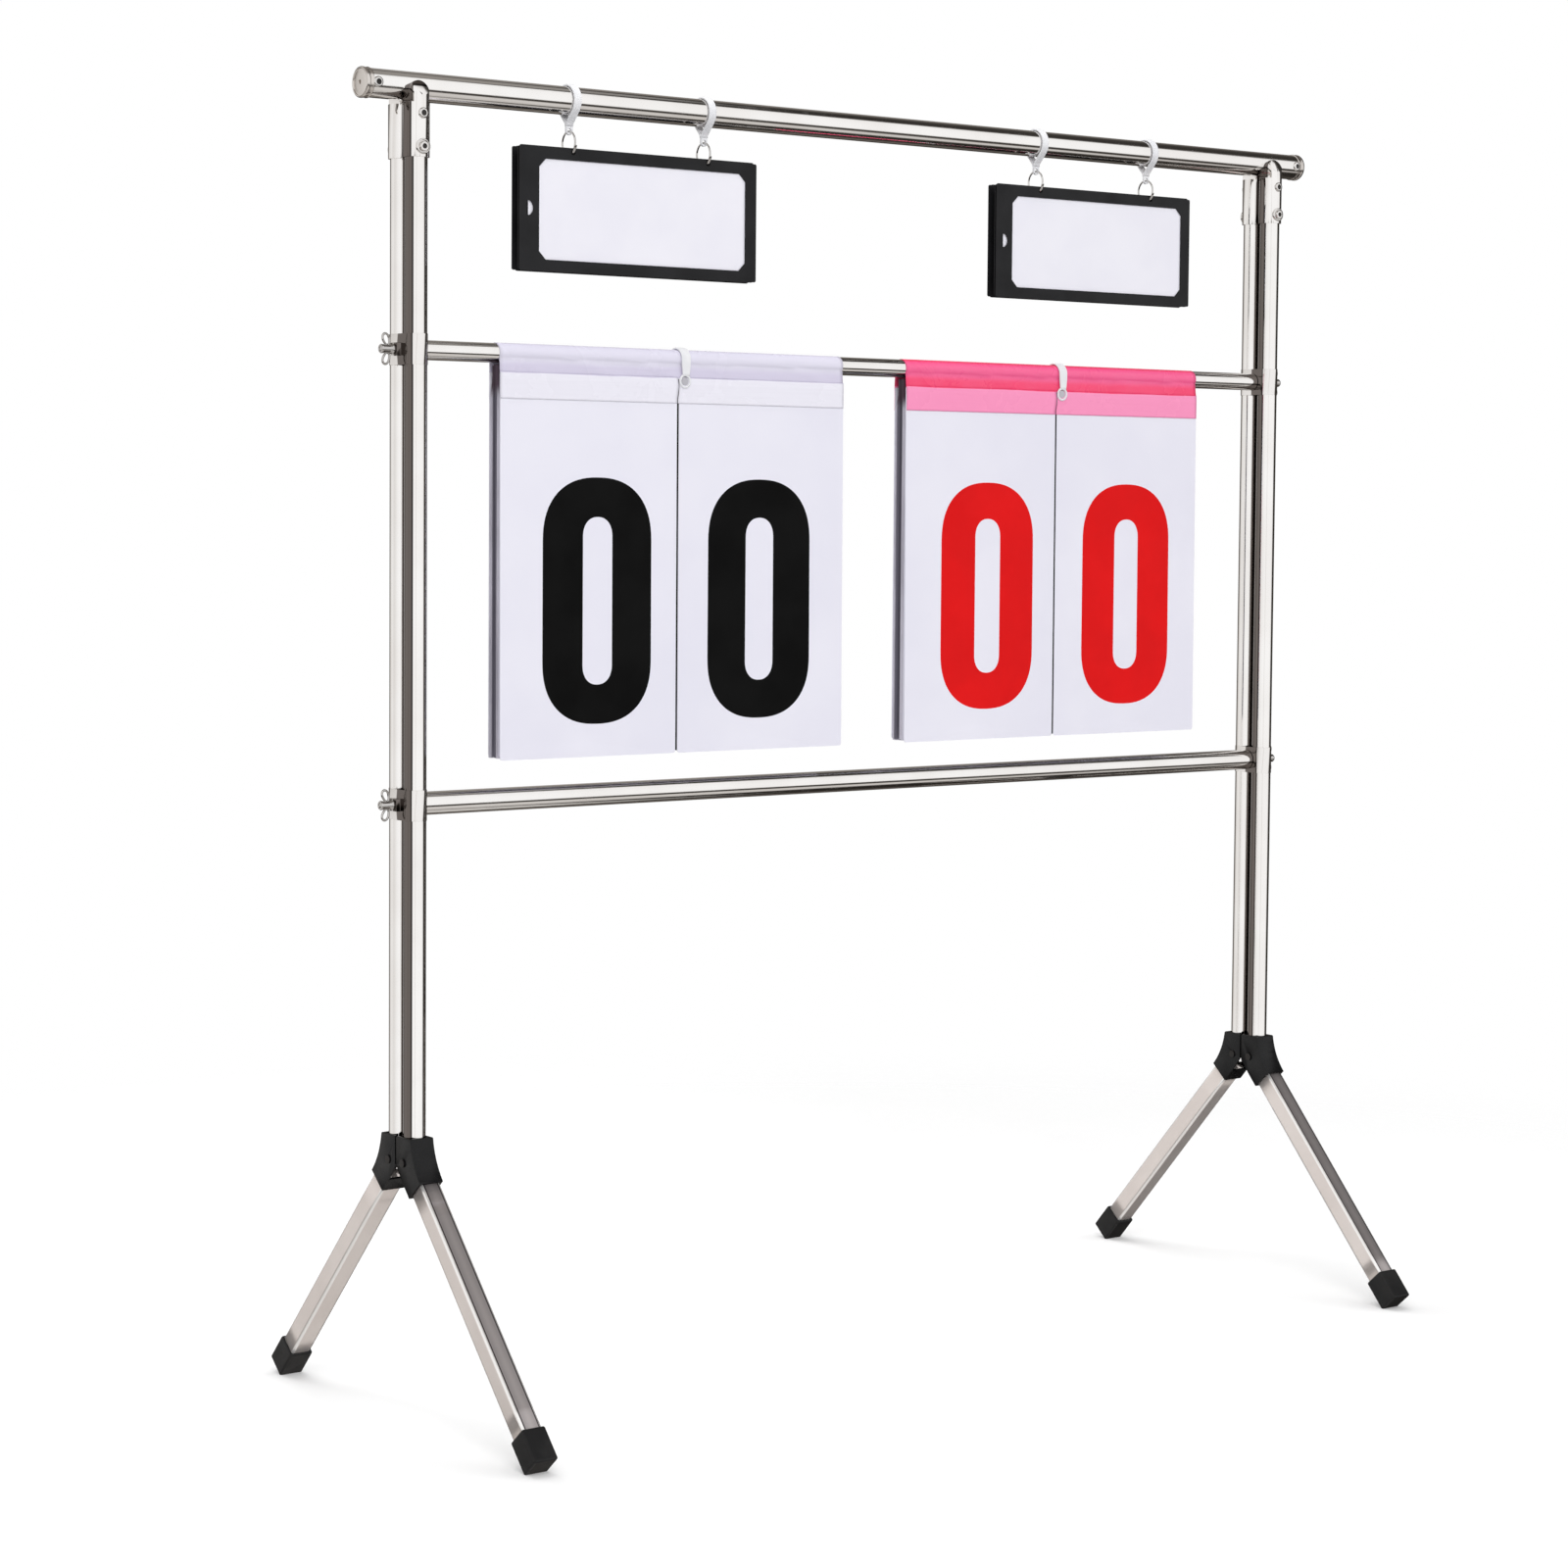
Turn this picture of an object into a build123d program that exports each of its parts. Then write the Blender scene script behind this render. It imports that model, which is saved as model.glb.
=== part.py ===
"""Flip scoreboard on a folding stainless stand: every piece as its own solid.

Lengths are millimetres. +Z is up, X runs along the rails, the front faces -Y.
The stand rests on z = 0 and is centred on x = 0, y = 0.
"""
import math
import os

from build123d import *

# ---------------------------------------------------------------- top rail
RAIL_R = 16.0
RAIL_WALL = 1.2
RAIL_Z = 1476.0
RAIL_HALF = 713.0
CAP_LIP = 4.0
CAP_R = 17.0
CAP_SPIGOT = 24.0
CAP_HOLE_R = 1.2
FIT = 0.1               # clearance of plugs, sleeves and sockets

# ---------------------------------------------------------------- posts
POST_IN = 58.0          # post axis from the rail's end
POST_X = RAIL_HALF - POST_IN
POST_R = 12.5
POST_WALL = 1.2
POST_Y = 15.3           # front and rear post axes from the centre plane
POST_GAP = 3.0          # post top below the rail
POST_TOP = RAIL_Z - RAIL_R - POST_GAP

# ---------------------------------------------------------------- brackets
SLEEVE_R = 14.7
SLEEVE_LEN = 59.0
SLEEVE_LOW = POST_TOP - SLEEVE_LEN
HORN_W = 19.0
HORN_RISE = 5.0         # horn top above the rail axis
HORN_TOP = RAIL_Z + HORN_RISE
HORN_LIP = 5.0
SCREW_DROPS = (12.0, 48.0)
GROOVE_R = 1.3          # pressed groove down the middle of a horn
WASHER_R = 6.8          # shaped washer under each lower screw
WASHER_T = 1.2
SCREW_R = 2.4
SCREW_LEN = 7.0
SCREW_HEAD_R = 4.3
SCREW_HEAD = 2.6
SCREW_SLOT = 0.9
RAIL_SCREW_IN = 10.0    # rail screws from the rail's ends

# ---------------------------------------------------------------- legs
LEG_ANGLE = 42.0        # splay from the vertical
PIVOT_Z = 293.5
POST_FOOT = 10.0        # post end below the pivot
LEG_HALF = 12.5
LEG_WALL = 1.5
LEG_CORNER = 2.0
ELBOW_HALF = 15.0
ELBOW_RIM = 28.5        # rim above the pivot
ELBOW_END = 37.0        # socket end from the pivot
ELBOW_WEB = 18.0        # leg seat from the pivot
ELBOW_SAG = 3.8         # hollow of the outer wall's curve
ELBOW_ROUND = 1.6
PIN_R = 3.0
PIN_HEAD_R = 4.6
PIN_HEAD = 1.3
FOOT_HALF = 14.8
FOOT_LEN = 40.0
FOOT_SOLE = 5.0
FOOT_FLAT = 1.6         # depth of the worn flat on the floor
FOOT_ROUND = 2.4

# ---------------------------------------------------------------- cross rails
MID_R = 11.0
MID_DROP = 286.0        # rail axes below the top rail's axis
MID_Z = RAIL_Z - MID_DROP
LOW_R = 13.0
LOW_DROP = 786.0
LOW_Z = RAIL_Z - LOW_DROP
CROSS_WALL = 1.2
RUN = 0.3               # gap between parts that slide or swing
BAND_T = 1.2            # sheet band round both posts
BAND_HALF_Z = 17.0
NUT_HALF = 7.0
NUT_T = 5.0
BOLT_R = 2.5
BOLT_TIP = 3.0          # bolt tip from the posts' plane
HUB_R = 5.5
HUB_LEN = 11.0
HUB_ROUND = 1.5
WING_R = 5.5
WING_T = 2.6
WING_OUT = 12.0

# ---------------------------------------------------------------- name holders
TAG_W = 332.0
TAG_H = 139.5
TAG_DROP = 53.5         # holder's top below the rail axis
TAG_TOP = RAIL_Z - TAG_DROP
TAG_FACE = 9.5          # outer face of a pocket from the centre plane
TAG_WALL = 1.0
TAG_SLOT = 1.2
TAG_BACK = 1.3
TAG_CENTRES = {"left": -351.0, "right": 351.0}
HOOK_PITCH = 94.0       # hooks either side of a holder's middle
WINDOW_OPEN_SIDE = 26.0
WINDOW_SHUT_SIDE = 18.0
WINDOW_TOP = 14.0
WINDOW_LOW = 13.0
WINDOW_CHAMFER = 9.0
NOTCH_X = 11.0
NOTCH_R = 8.0
SLOT_SIDE = 8.0
SLOT_TOP = 10.5         # must stay above the window and below the ring holes
SLOT_LOW = 5.0
CARD_T = 0.6
CARD_INSET = 2.0
RING_R = 13.5
RING_WIRE = 1.0
RING_DROP = 47.5        # ring centre below the rail axis
TAG_HOLE_R = 3.0
HOOK_W = 10.0
HOOK_T = 2.6
HOOK_TAB = 3.0
HOOK_EYE_R = 2.5
HOOK_TOE = 2.5
EYE_PLAY = 0.8          # under the ring's wire in the hook's eye
HOOK_ARM = 48.0         # where the arms leave the hook's circle
HOOK_VEE = 0.4

# ---------------------------------------------------------------- number sets
SET_CENTRES = {"black": -300.0, "red": 285.0}
SET_W = 487.0
LEAF_GAP = 1.2          # the cut between tens and units
LEAF_DROP = 455.5       # leaf's lower edge below the rail axis
LEAF_LOW = MID_Z - LEAF_DROP
LEAF_T = 0.7
HINGE_DROP = 31.0       # flex line below the rail axis
HEADER_T = 0.5
HEADER_REAR = 51.0
PILE_T = 2.6
PILE_LAP = 8.5          # piles reach this far above the flex line
PILE_SHORT = 3.0
NOTCH_W = 20.0
NOTCH_H = 8.0
CLIP_SHIFT = 10.0       # clip's middle from the cut
CLIP_W = 9.0
CLIP_T = 2.2
EYELET_R = 6.5
EYELET_HOLE_R = 4.0
EYELET_DROP = 24.5      # eyelet's middle below the rail axis

NODES = {}


def block(x, y, z):
    """Box between two limits on each axis."""
    size = (x[1] - x[0], y[1] - y[0], z[1] - z[0])
    centre = ((x[0] + x[1]) / 2, (y[0] + y[1]) / 2, (z[0] + z[1]) / 2)
    return Pos(*centre) * Box(*size)


def rod_x(radius, x0, x1, y, z):
    """Round bar along X."""
    return Pos((x0 + x1) / 2, y, z) * Rot(0, 90, 0) * Cylinder(radius, abs(x1 - x0))


def rod_y(radius, y0, y1, x, z):
    """Round bar along Y."""
    return Pos(x, (y0 + y1) / 2, z) * Rot(90, 0, 0) * Cylinder(radius, abs(y1 - y0))


def rod_z(radius, z0, z1, x, y):
    """Round bar along Z."""
    return Pos(x, y, (z0 + z1) / 2) * Cylinder(radius, abs(z1 - z0))


def prism_x(points, x0, x1):
    """Profile of (y, z) points carried along X."""
    wire = Polyline(*[(x0, y, z) for y, z in points], close=True)
    return extrude(make_face(wire), amount=x1 - x0, dir=(1, 0, 0))


def prism_y(points, y0, y1):
    """Profile of (x, z) points carried along Y."""
    wire = Polyline(*[(x, y0, z) for x, z in points], close=True)
    return extrude(make_face(wire), amount=y1 - y0, dir=(0, 1, 0))


def group(name, solids):
    """Several loose solids kept in one node."""
    NODES[name] = Compound(children=[s for shape in solids for s in shape.solids()])


def single(name, shape):
    """One solid in its own node."""
    NODES[name] = shape


# ---------------------------------------------------------------- stand
def screw(x, y, z, side):
    """Pan-head screw whose head sits on a face at y, pointing out along side * Y."""
    head = rod_y(SCREW_HEAD_R, y, y + side * SCREW_HEAD, x, z)
    rim = head.edges().sort_by(Axis.Y)
    head = fillet(rim[-1] if side > 0 else rim[0], SCREW_HEAD * 0.6)
    shank = rod_y(SCREW_R, y - side * SCREW_LEN, y, x, z)
    out = (y + side * (SCREW_HEAD - SCREW_SLOT), y + side * (SCREW_HEAD + 1))
    cut = block((x - SCREW_SLOT / 2, x + SCREW_SLOT / 2), sorted(out),
                (z - SCREW_HEAD_R / 2, z + SCREW_HEAD_R / 2))
    cross = Pos(x, 0, z) * Rot(0, 90, 0) * Pos(-x, 0, -z) * cut
    return head + shank - cut - cross


def screw_places():
    """Every screw as (x, seat y, z, side)."""
    places = []
    for end in (-1, 1):
        for side in (-1, 1):
            for drop, lift in zip(SCREW_DROPS, (0, WASHER_T)):
                seat = POST_Y + SLEEVE_R + lift
                places.append((end * POST_X, side * seat, POST_TOP - drop, side))
        places.append((end * (RAIL_HALF - RAIL_SCREW_IN), -RAIL_R, RAIL_Z, -1))
    return places


def screw_holes(shape, places):
    """Shape with the clearance holes of the screws cut through its wall."""
    for x, y, z, side in places:
        shape = shape - rod_y(SCREW_R + FIT / 2, y - side * (SCREW_LEN + FIT), y + side, x, z)
    return shape


def washers():
    """Washers under the lower screws, hollowed to sit on the round sleeves."""
    rings = []
    for end in (-1, 1):
        for side in (-1, 1):
            face = side * (POST_Y + SLEEVE_R)
            z = POST_TOP - SCREW_DROPS[1]
            ring = rod_y(WASHER_R, face - side * SLEEVE_R / 4, face + side * WASHER_T, end * POST_X, z)
            ring = ring - rod_z(SLEEVE_R, z - 2 * WASHER_R, z + 2 * WASHER_R, end * POST_X, side * POST_Y)
            rings.append(ring - rod_y(SCREW_R + FIT / 2, 0, 2 * face, end * POST_X, z))
    group("bolt_washers", rings)


def top_rail():
    """Round rail that the name holders hang on."""
    tube = rod_x(RAIL_R, -RAIL_HALF, RAIL_HALF, 0, RAIL_Z)
    tube = tube - rod_x(RAIL_R - RAIL_WALL, -RAIL_HALF - 1, RAIL_HALF + 1, 0, RAIL_Z)
    single("top_rail", screw_holes(tube, [p for p in screw_places() if p[2] == RAIL_Z]))


def rail_caps():
    """Plugs that close the rail's ends."""
    caps = []
    for end in (-1, 1):
        face = end * RAIL_HALF
        lip = rod_x(CAP_R, face, face + end * CAP_LIP, 0, RAIL_Z)
        edge = lip.edges().filter_by(GeomType.CIRCLE)
        lip = fillet(edge, CAP_LIP * 0.3)
        spigot_r = RAIL_R - RAIL_WALL - FIT / 2
        spigot = rod_x(spigot_r, face, face - end * CAP_SPIGOT, 0, RAIL_Z)
        cap = lip + spigot - rod_x(CAP_HOLE_R, face + end * 2 * CAP_LIP, face, 0, RAIL_Z)
        caps.append(screw_holes(cap, [p for p in screw_places() if p[2] == RAIL_Z]))
    group("rail_caps", caps)


def post(end, side):
    """One round upright, drilled for its screws and its hinge pin."""
    x = end * POST_X
    y = side * POST_Y
    low = PIVOT_Z - POST_FOOT
    tube = rod_z(POST_R, low, POST_TOP, x, y)
    tube = tube - rod_z(POST_R - POST_WALL, low - 1, POST_TOP + 1, x, y)
    tube = tube - rod_x(PIN_R + FIT / 2, x - 2 * POST_R, x + 2 * POST_R, y, PIVOT_Z)
    places = [p for p in screw_places() if p[0] == x and p[3] == side]
    return screw_holes(tube, places)


def bracket(end, side):
    """Sleeve on a post's top whose horn lies against the rail."""
    x = end * POST_X
    y = side * POST_Y
    outer = rod_z(SLEEVE_R, SLEEVE_LOW, HORN_TOP, x, y)
    bore = rod_z(POST_R + FIT / 2, SLEEVE_LOW - 1, POST_TOP + RUN, x, y)
    face = POST_Y + SLEEVE_R
    slope = [(0, SLEEVE_LOW - 1), (side * (face + 1), SLEEVE_LOW - 1),
             (side * (face + 1), POST_TOP + HORN_LIP), (side * (face - 10), HORN_TOP + 1),
             (0, HORN_TOP + 1)]
    keep = prism_x(slope, x - SLEEVE_R - 1, x + SLEEVE_R + 1)
    low = block((x - SLEEVE_R - 1, x + SLEEVE_R + 1), sorted((0, side * (face + 1))),
                (SLEEVE_LOW - 1, POST_TOP))
    half = HORN_W / 2
    shaft = block((x - half, x + half), sorted((0, side * (face + 1))),
                  (POST_TOP - 1, HORN_TOP - half))
    crown = rod_y(half, 0, side * (face + 1), x, HORN_TOP - half)
    shape = (outer & keep) & (low + shaft + crown)
    shape = shape - bore - rod_x(RAIL_R + FIT / 2, x - 2 * SLEEVE_R, x + 2 * SLEEVE_R, 0, RAIL_Z)
    shape = shape - rod_z(GROOVE_R, POST_TOP - SCREW_DROPS[0], HORN_TOP + 1, x, side * face)
    places = [p for p in screw_places() if p[0] == x and p[3] == side]
    shape = screw_holes(shape, places)
    return max(shape.solids(), key=lambda s: s.volume)


# ---------------------------------------------------------------- legs
def leg_frame(end, side):
    """Placement of a leg: local -Z runs from the pivot to the foot, local -Y is outward."""
    turn = Rot(0, 0, 180) if side > 0 else Rot(0, 0, 0)
    return Pos(end * POST_X, side * POST_Y, PIVOT_Z) * turn * Rot(-LEG_ANGLE, 0, 0)


def foot_reach():
    """Distance from the pivot to the foot's end face."""
    lean = math.radians(LEG_ANGLE)
    return (PIVOT_Z + FOOT_FLAT - FOOT_HALF * math.sin(lean)) / math.cos(lean)


def square_bar(half, z0, z1, corner):
    """Square bar along Z with rounded corners."""
    bar = Pos(0, 0, (z0 + z1) / 2) * Box(2 * half, 2 * half, abs(z1 - z0))
    return fillet(bar.edges().filter_by(Axis.Z), corner)


def elbow_outline():
    """Side profile of an elbow in its leg's frame, with a hollow curve for its outer wall."""
    lean = math.radians(LEG_ANGLE)
    up = ELBOW_RIM
    wall = ELBOW_HALF

    def local(y, z):
        """Point given in the upright frame, turned into the leg's frame."""
        return Vector(0, y * math.cos(lean) - z * math.sin(lean), y * math.sin(lean) + z * math.cos(lean))

    rim = local(-wall, up)
    lip = Vector(0, -wall, -ELBOW_END)
    chord = (lip - rim).normalized()
    hollow = (rim + lip) / 2 + Vector(0, -chord.Z, chord.Y) * ELBOW_SAG
    curve = ThreePointArc(rim, hollow, lip)
    rest = Polyline(lip, Vector(0, wall, -ELBOW_END), Vector(0, wall, 2 - ELBOW_WEB),
                    local(wall - 1, -4), local(wall - 1, up), rim)
    return make_face(curve + rest)


def elbow():
    """Hollow moulded knuckle: two cheeks, an outer wall and a square socket."""
    half = ELBOW_HALF
    shell = extrude(Pos(-half, 0, 0) * elbow_outline(), amount=2 * half, dir=(1, 0, 0))
    shell = fillet(shell.faces().sort_by(Axis.Y)[0].edges(), ELBOW_ROUND)
    inner = POST_R + RUN
    upright = Rot(LEG_ANGLE, 0, 0)
    swept = upright * block((-inner, inner), (-inner, half + 2), (-POST_FOOT - 8, ELBOW_RIM + 2))
    straight = block((-inner, inner), (-LEG_HALF - FIT, half + 2), (-ELBOW_WEB, ELBOW_RIM))
    socket_half = LEG_HALF + FIT
    socket = square_bar(socket_half, -ELBOW_END - 1, -ELBOW_WEB + 1, LEG_CORNER)
    shell = shell - swept - straight - socket
    shell = shell - rod_x(PIN_R + FIT / 2, -2 * half, 2 * half, 0, 0)
    lip = block((-half - 1, half + 1), (half - 0.01, half + 5), (-ELBOW_END, ELBOW_RIM))
    return shell - lip


def leg():
    """Square tube from the elbow to the foot."""
    top = -ELBOW_WEB
    low = -(foot_reach() - FOOT_SOLE)
    outer = square_bar(LEG_HALF, low, top, LEG_CORNER)
    return outer - square_bar(LEG_HALF - LEG_WALL, low - 1, top + 1, LEG_CORNER - LEG_WALL / 2)


def foot():
    """Square cap on a leg's end."""
    end = -foot_reach()
    cap = Pos(0, 0, end + FOOT_LEN / 2) * Box(2 * FOOT_HALF, 2 * FOOT_HALF, FOOT_LEN)
    cap = fillet(cap.edges(), FOOT_ROUND)
    pocket = square_bar(LEG_HALF + FIT, end + FOOT_SOLE, end + FOOT_LEN + 1, LEG_CORNER)
    return cap - pocket


def below_floor(end, side):
    """Everything under the floor round one foot."""
    x = end * POST_X
    y = sorted((0, side * (POST_Y + foot_reach())))
    return block((x - 2 * FOOT_HALF, x + 2 * FOOT_HALF), y, (-2 * FOOT_HALF, 0))


def leg_sets():
    """Elbow, leg and foot at each corner, with the pins that they swing on."""
    pins = []
    for end, end_name in ((-1, "left"), (1, "right")):
        for side, side_name in ((-1, "front"), (1, "rear")):
            place = leg_frame(end, side)
            tag = side_name + "_" + end_name
            single("elbow_" + tag, place * elbow())
            single("leg_" + tag, place * leg())
            single("foot_" + tag, place * foot() - below_floor(end, side))
            single("post_" + tag, post(end, side))
            single("bracket_" + tag, bracket(end, side))
            x = end * POST_X
            y = side * POST_Y
            seat = ELBOW_HALF + RUN / 2
            pin = rod_x(PIN_R, x - seat, x + seat, y, PIVOT_Z)
            for way in (-1, 1):
                face = x + way * seat
                head = rod_x(PIN_HEAD_R, face, face + way * PIN_HEAD, y, PIVOT_Z)
                pin = pin + head
            pins.append(pin)
    group("elbow_pins", pins)


# ---------------------------------------------------------------- cross rails
def cross_rail(radius, z):
    """Round rail that butts on the bands at both ends."""
    half = POST_X - POST_R - RUN - BAND_T
    bar = rod_x(radius, -half, half, 0, z)
    return bar - rod_x(radius - CROSS_WALL, -half - 1, half + 1, 0, z)


def oblong(radius, x, z0, z1):
    """Upright bar whose plan is a slot shape round both posts of a side."""
    bar = block((x - radius, x + radius), (-POST_Y, POST_Y), (z0, z1))
    for side in (-1, 1):
        bar = bar + rod_z(radius, z0, z1, x, side * POST_Y)
    return bar


def band(end, z):
    """Sheet band that slides on both posts, with a square nut on its outer side."""
    x = end * POST_X
    bore = POST_R + RUN
    face = POST_X + bore + BAND_T
    shell = oblong(bore + BAND_T, x, z - BAND_HALF_Z, z + BAND_HALF_Z)
    nut = block(sorted((end * (face - BAND_T / 2), end * (face + NUT_T))), (-NUT_HALF, NUT_HALF),
                (z - NUT_HALF, z + NUT_HALF))
    shell = shell + nut - oblong(bore, x, z - BAND_HALF_Z - 1, z + BAND_HALF_Z + 1)
    return shell - rod_x(BOLT_R + FIT / 2, x, end * (face + NUT_T + 1), 0, z)


def wing_bolt(end, z):
    """Wing bolt: shank through the nut and between the posts, hub and two wings."""
    seat = POST_X + POST_R + RUN + BAND_T + NUT_T + RUN
    shank = rod_x(BOLT_R, end * (POST_X + BOLT_TIP), end * (seat + 1), 0, z)
    hub = rod_x(HUB_R, end * seat, end * (seat + HUB_LEN), 0, z)
    bolt = fillet(hub.edges().filter_by(GeomType.CIRCLE), HUB_ROUND) + shank
    mid = end * (seat + HUB_LEN * 0.6)
    for way in (-1, 1):
        tip = mid + end * 4.0
        height = z + way * WING_OUT
        lobe = rod_y(WING_R, -WING_T / 2, WING_T / 2, tip, height)
        arm = prism_y([(mid - end * 4.5, z), (mid + end * 4.5, z), (tip + end * WING_R * 0.8, height),
                       (tip - end * WING_R * 0.8, height)], -WING_T / 2, WING_T / 2)
        bolt = bolt + lobe + arm
    return bolt


def cross_rails():
    """Both cross rails with their bands and wing bolts."""
    for name, radius, z in (("mid", MID_R, MID_Z), ("lower", LOW_R, LOW_Z)):
        single(name + "_rail", cross_rail(radius, z))
        group(name + "_rail_bands", [band(-1, z), band(1, z)])
        single(name + "_wing_bolt_left", wing_bolt(-1, z))
        single(name + "_wing_bolt_right", wing_bolt(1, z))


# ---------------------------------------------------------------- name holders
def pocket(side):
    """Card pocket about its own middle: window in front, card mouth at its left."""
    half = TAG_W / 2
    low = TAG_TOP - TAG_H
    depth = TAG_WALL + TAG_SLOT + TAG_BACK
    front = -TAG_FACE
    body = block((-half, half), (front, front + depth), (low, TAG_TOP))
    body = fillet(body.edges().filter_by(Axis.Y), 3.0)
    x0 = -half + WINDOW_OPEN_SIDE
    x1 = half - WINDOW_SHUT_SIDE
    z0 = low + WINDOW_LOW
    z1 = TAG_TOP - WINDOW_TOP
    c = WINDOW_CHAMFER
    ring = [(x0 + c, z0), (x1 - c, z0), (x1, z0 + c), (x1, z1 - c),
            (x1 - c, z1), (x0 + c, z1), (x0, z1 - c), (x0, z0 + c)]
    body = body - prism_y(ring, front - 1, front + TAG_WALL + TAG_SLOT / 2)
    slot_y = (front + TAG_WALL, front + TAG_WALL + TAG_SLOT)
    body = body - block((-half - 1, half - SLOT_SIDE), slot_y, (low + SLOT_LOW, TAG_TOP - SLOT_TOP))
    middle = (low + TAG_TOP) / 2
    moon = rod_y(NOTCH_R, front - 1, front + TAG_WALL + TAG_SLOT / 2, -half + NOTCH_X, middle)
    moon = moon & block((-half + NOTCH_X - 1.5, -half + NOTCH_X + NOTCH_R), (front - 2, 0),
                        (middle - NOTCH_R, middle + NOTCH_R))
    body = body - moon
    lean = math.sqrt(RING_R ** 2 - (TAG_FACE - depth / 2) ** 2)
    for way in (-1, 1):
        hole = rod_y(TAG_HOLE_R, front - 1, 0, way * HOOK_PITCH, RAIL_Z - RING_DROP - lean)
        body = body - hole
    return Rot(0, 0, 180) * body if side > 0 else body


def card(side):
    """Name card in its pocket, about the pocket's middle."""
    half = TAG_W / 2
    low = TAG_TOP - TAG_H
    y = -TAG_FACE + TAG_WALL + (TAG_SLOT - CARD_T) / 2
    sheet = block((-half + CARD_INSET, half - SLOT_SIDE - RUN), (y, y + CARD_T),
                  (low + SLOT_LOW + RUN, TAG_TOP - SLOT_TOP - RUN))
    return Rot(0, 0, 180) * sheet if side > 0 else sheet


def vee(radius, foot):
    """Round profile whose lower tangents run down to a foot of half width foot."""
    lean = math.radians(HOOK_ARM)
    y = radius * math.sin(lean)
    z = RAIL_Z - radius * math.cos(lean)
    low = z - (y - foot) * math.tan(lean)
    return [(-y, z), (-foot, low), (foot, low), (y, z), (0, RAIL_Z)]


def hook(x):
    """Closed hook round the rail whose arms meet in a stem with an eye for the ring."""
    inner = RAIL_R + RUN
    outer = inner + HOOK_T
    x0 = x - HOOK_W / 2
    x1 = x + HOOK_W / 2
    tab = HOOK_TAB / 2
    wire = RAIL_Z - RING_DROP + RING_R
    eye = wire - RING_WIRE - EYE_PLAY + HOOK_EYE_R
    toe = eye - HOOK_EYE_R - HOOK_TOE
    shape = rod_x(outer, x0, x1, 0, RAIL_Z) + prism_x(vee(outer, tab), x0, x1)
    stem = block((x0, x1), (-tab, tab), (toe, RAIL_Z - outer))
    stem = fillet(stem.edges().filter_by(Axis.Y).sort_by(Axis.Z)[:2], HOOK_W * 0.35)
    shape = shape + stem - rod_x(inner, x0 - 1, x1 + 1, 0, RAIL_Z)
    shape = shape - prism_x(vee(inner, HOOK_VEE), x0 - 1, x1 + 1)
    return shape - rod_y(HOOK_EYE_R, -2 * outer, 2 * outer, x, eye)


def split_ring(x):
    """Wire ring that carries both pockets."""
    return Pos(x, 0, RAIL_Z - RING_DROP) * Rot(0, 90, 0) * Torus(RING_R, RING_WIRE)


def name_holders():
    """Both holders: hooks, rings, two pockets and their cards."""
    for name, centre in TAG_CENTRES.items():
        places = (centre - HOOK_PITCH, centre + HOOK_PITCH)
        group("holder_hooks_" + name, [hook(x) for x in places])
        group("holder_rings_" + name, [split_ring(x) for x in places])
        for side, side_name in ((-1, "front"), (1, "rear")):
            tag = side_name + "_" + name
            single("name_pocket_" + tag, Pos(centre, 0, 0) * pocket(side))
            single("name_card_" + tag, Pos(centre, 0, 0) * card(side))


# ---------------------------------------------------------------- number sets
def header(centre):
    """Film sleeve over the rail with a short front skirt and a long rear skirt."""
    x0 = centre - SET_W / 2
    x1 = centre + SET_W / 2
    inner = MID_R + RUN
    outer = inner + HEADER_T
    arch = rod_x(outer, x0, x1, 0, MID_Z) - rod_x(inner, x0 - 1, x1 + 1, 0, MID_Z)
    arch = arch & block((x0, x1), (-outer, outer), (MID_Z, MID_Z + outer))
    skirts = block((x0, x1), (-outer, -inner), (MID_Z - HINGE_DROP + RUN, MID_Z))
    skirts = skirts + block((x0, x1), (inner, outer), (MID_Z - HEADER_REAR, MID_Z))
    return arch + skirts


def leaf(centre, way):
    """Number leaf that lifts about the flex line; the units leaf is notched for the clip."""
    top = MID_Z - HINGE_DROP - RUN
    front = -(MID_R + RUN + HEADER_T + (LEAF_T - HEADER_T) / 2)
    x0 = centre + way * LEAF_GAP / 2
    x1 = centre + way * SET_W / 2
    sheet = block(sorted((x0, x1)), (front, front + LEAF_T), (LEAF_LOW, top))
    return sheet - block((centre - 0.1, centre + NOTCH_W), (front - 1, front + 2),
                         (top - NOTCH_H, top + 1))


def pile(centre, way, side):
    """Leaves that hang behind the front leaf, or behind the rail, as one stack."""
    near = MID_R
    x0 = centre + way * LEAF_GAP / 2
    x1 = centre + way * (SET_W / 2 - 1)
    y = sorted((side * (near - PILE_T), side * near))
    return block(sorted((x0, x1)), y, (LEAF_LOW + PILE_SHORT, MID_Z - HINGE_DROP + PILE_LAP))


def clip(centre):
    """Open clip over the rail and header that ends in an eyelet beside the cut."""
    inner = MID_R + RUN + HEADER_T + RUN
    outer = inner + CLIP_T
    middle = centre + CLIP_SHIFT
    x0 = middle - CLIP_W / 2
    x1 = middle + CLIP_W / 2
    strap = rod_x(outer, x0, x1, 0, MID_Z) - rod_x(inner, x0 - 1, x1 + 1, 0, MID_Z)
    strap = strap & block((x0, x1), (-outer, outer), (MID_Z, MID_Z + outer))
    eye_z = MID_Z - EYELET_DROP
    strap = strap + block((x0, x1), (-outer, -inner), (eye_z, MID_Z))
    strap = strap + block((x0, x1), (inner, outer), (MID_Z - MID_R, MID_Z))
    strap = strap + rod_y(EYELET_R, -outer, -inner, middle, eye_z)
    return strap - rod_y(EYELET_HOLE_R, -outer - 1, -inner + 0.1, middle, eye_z)


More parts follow.
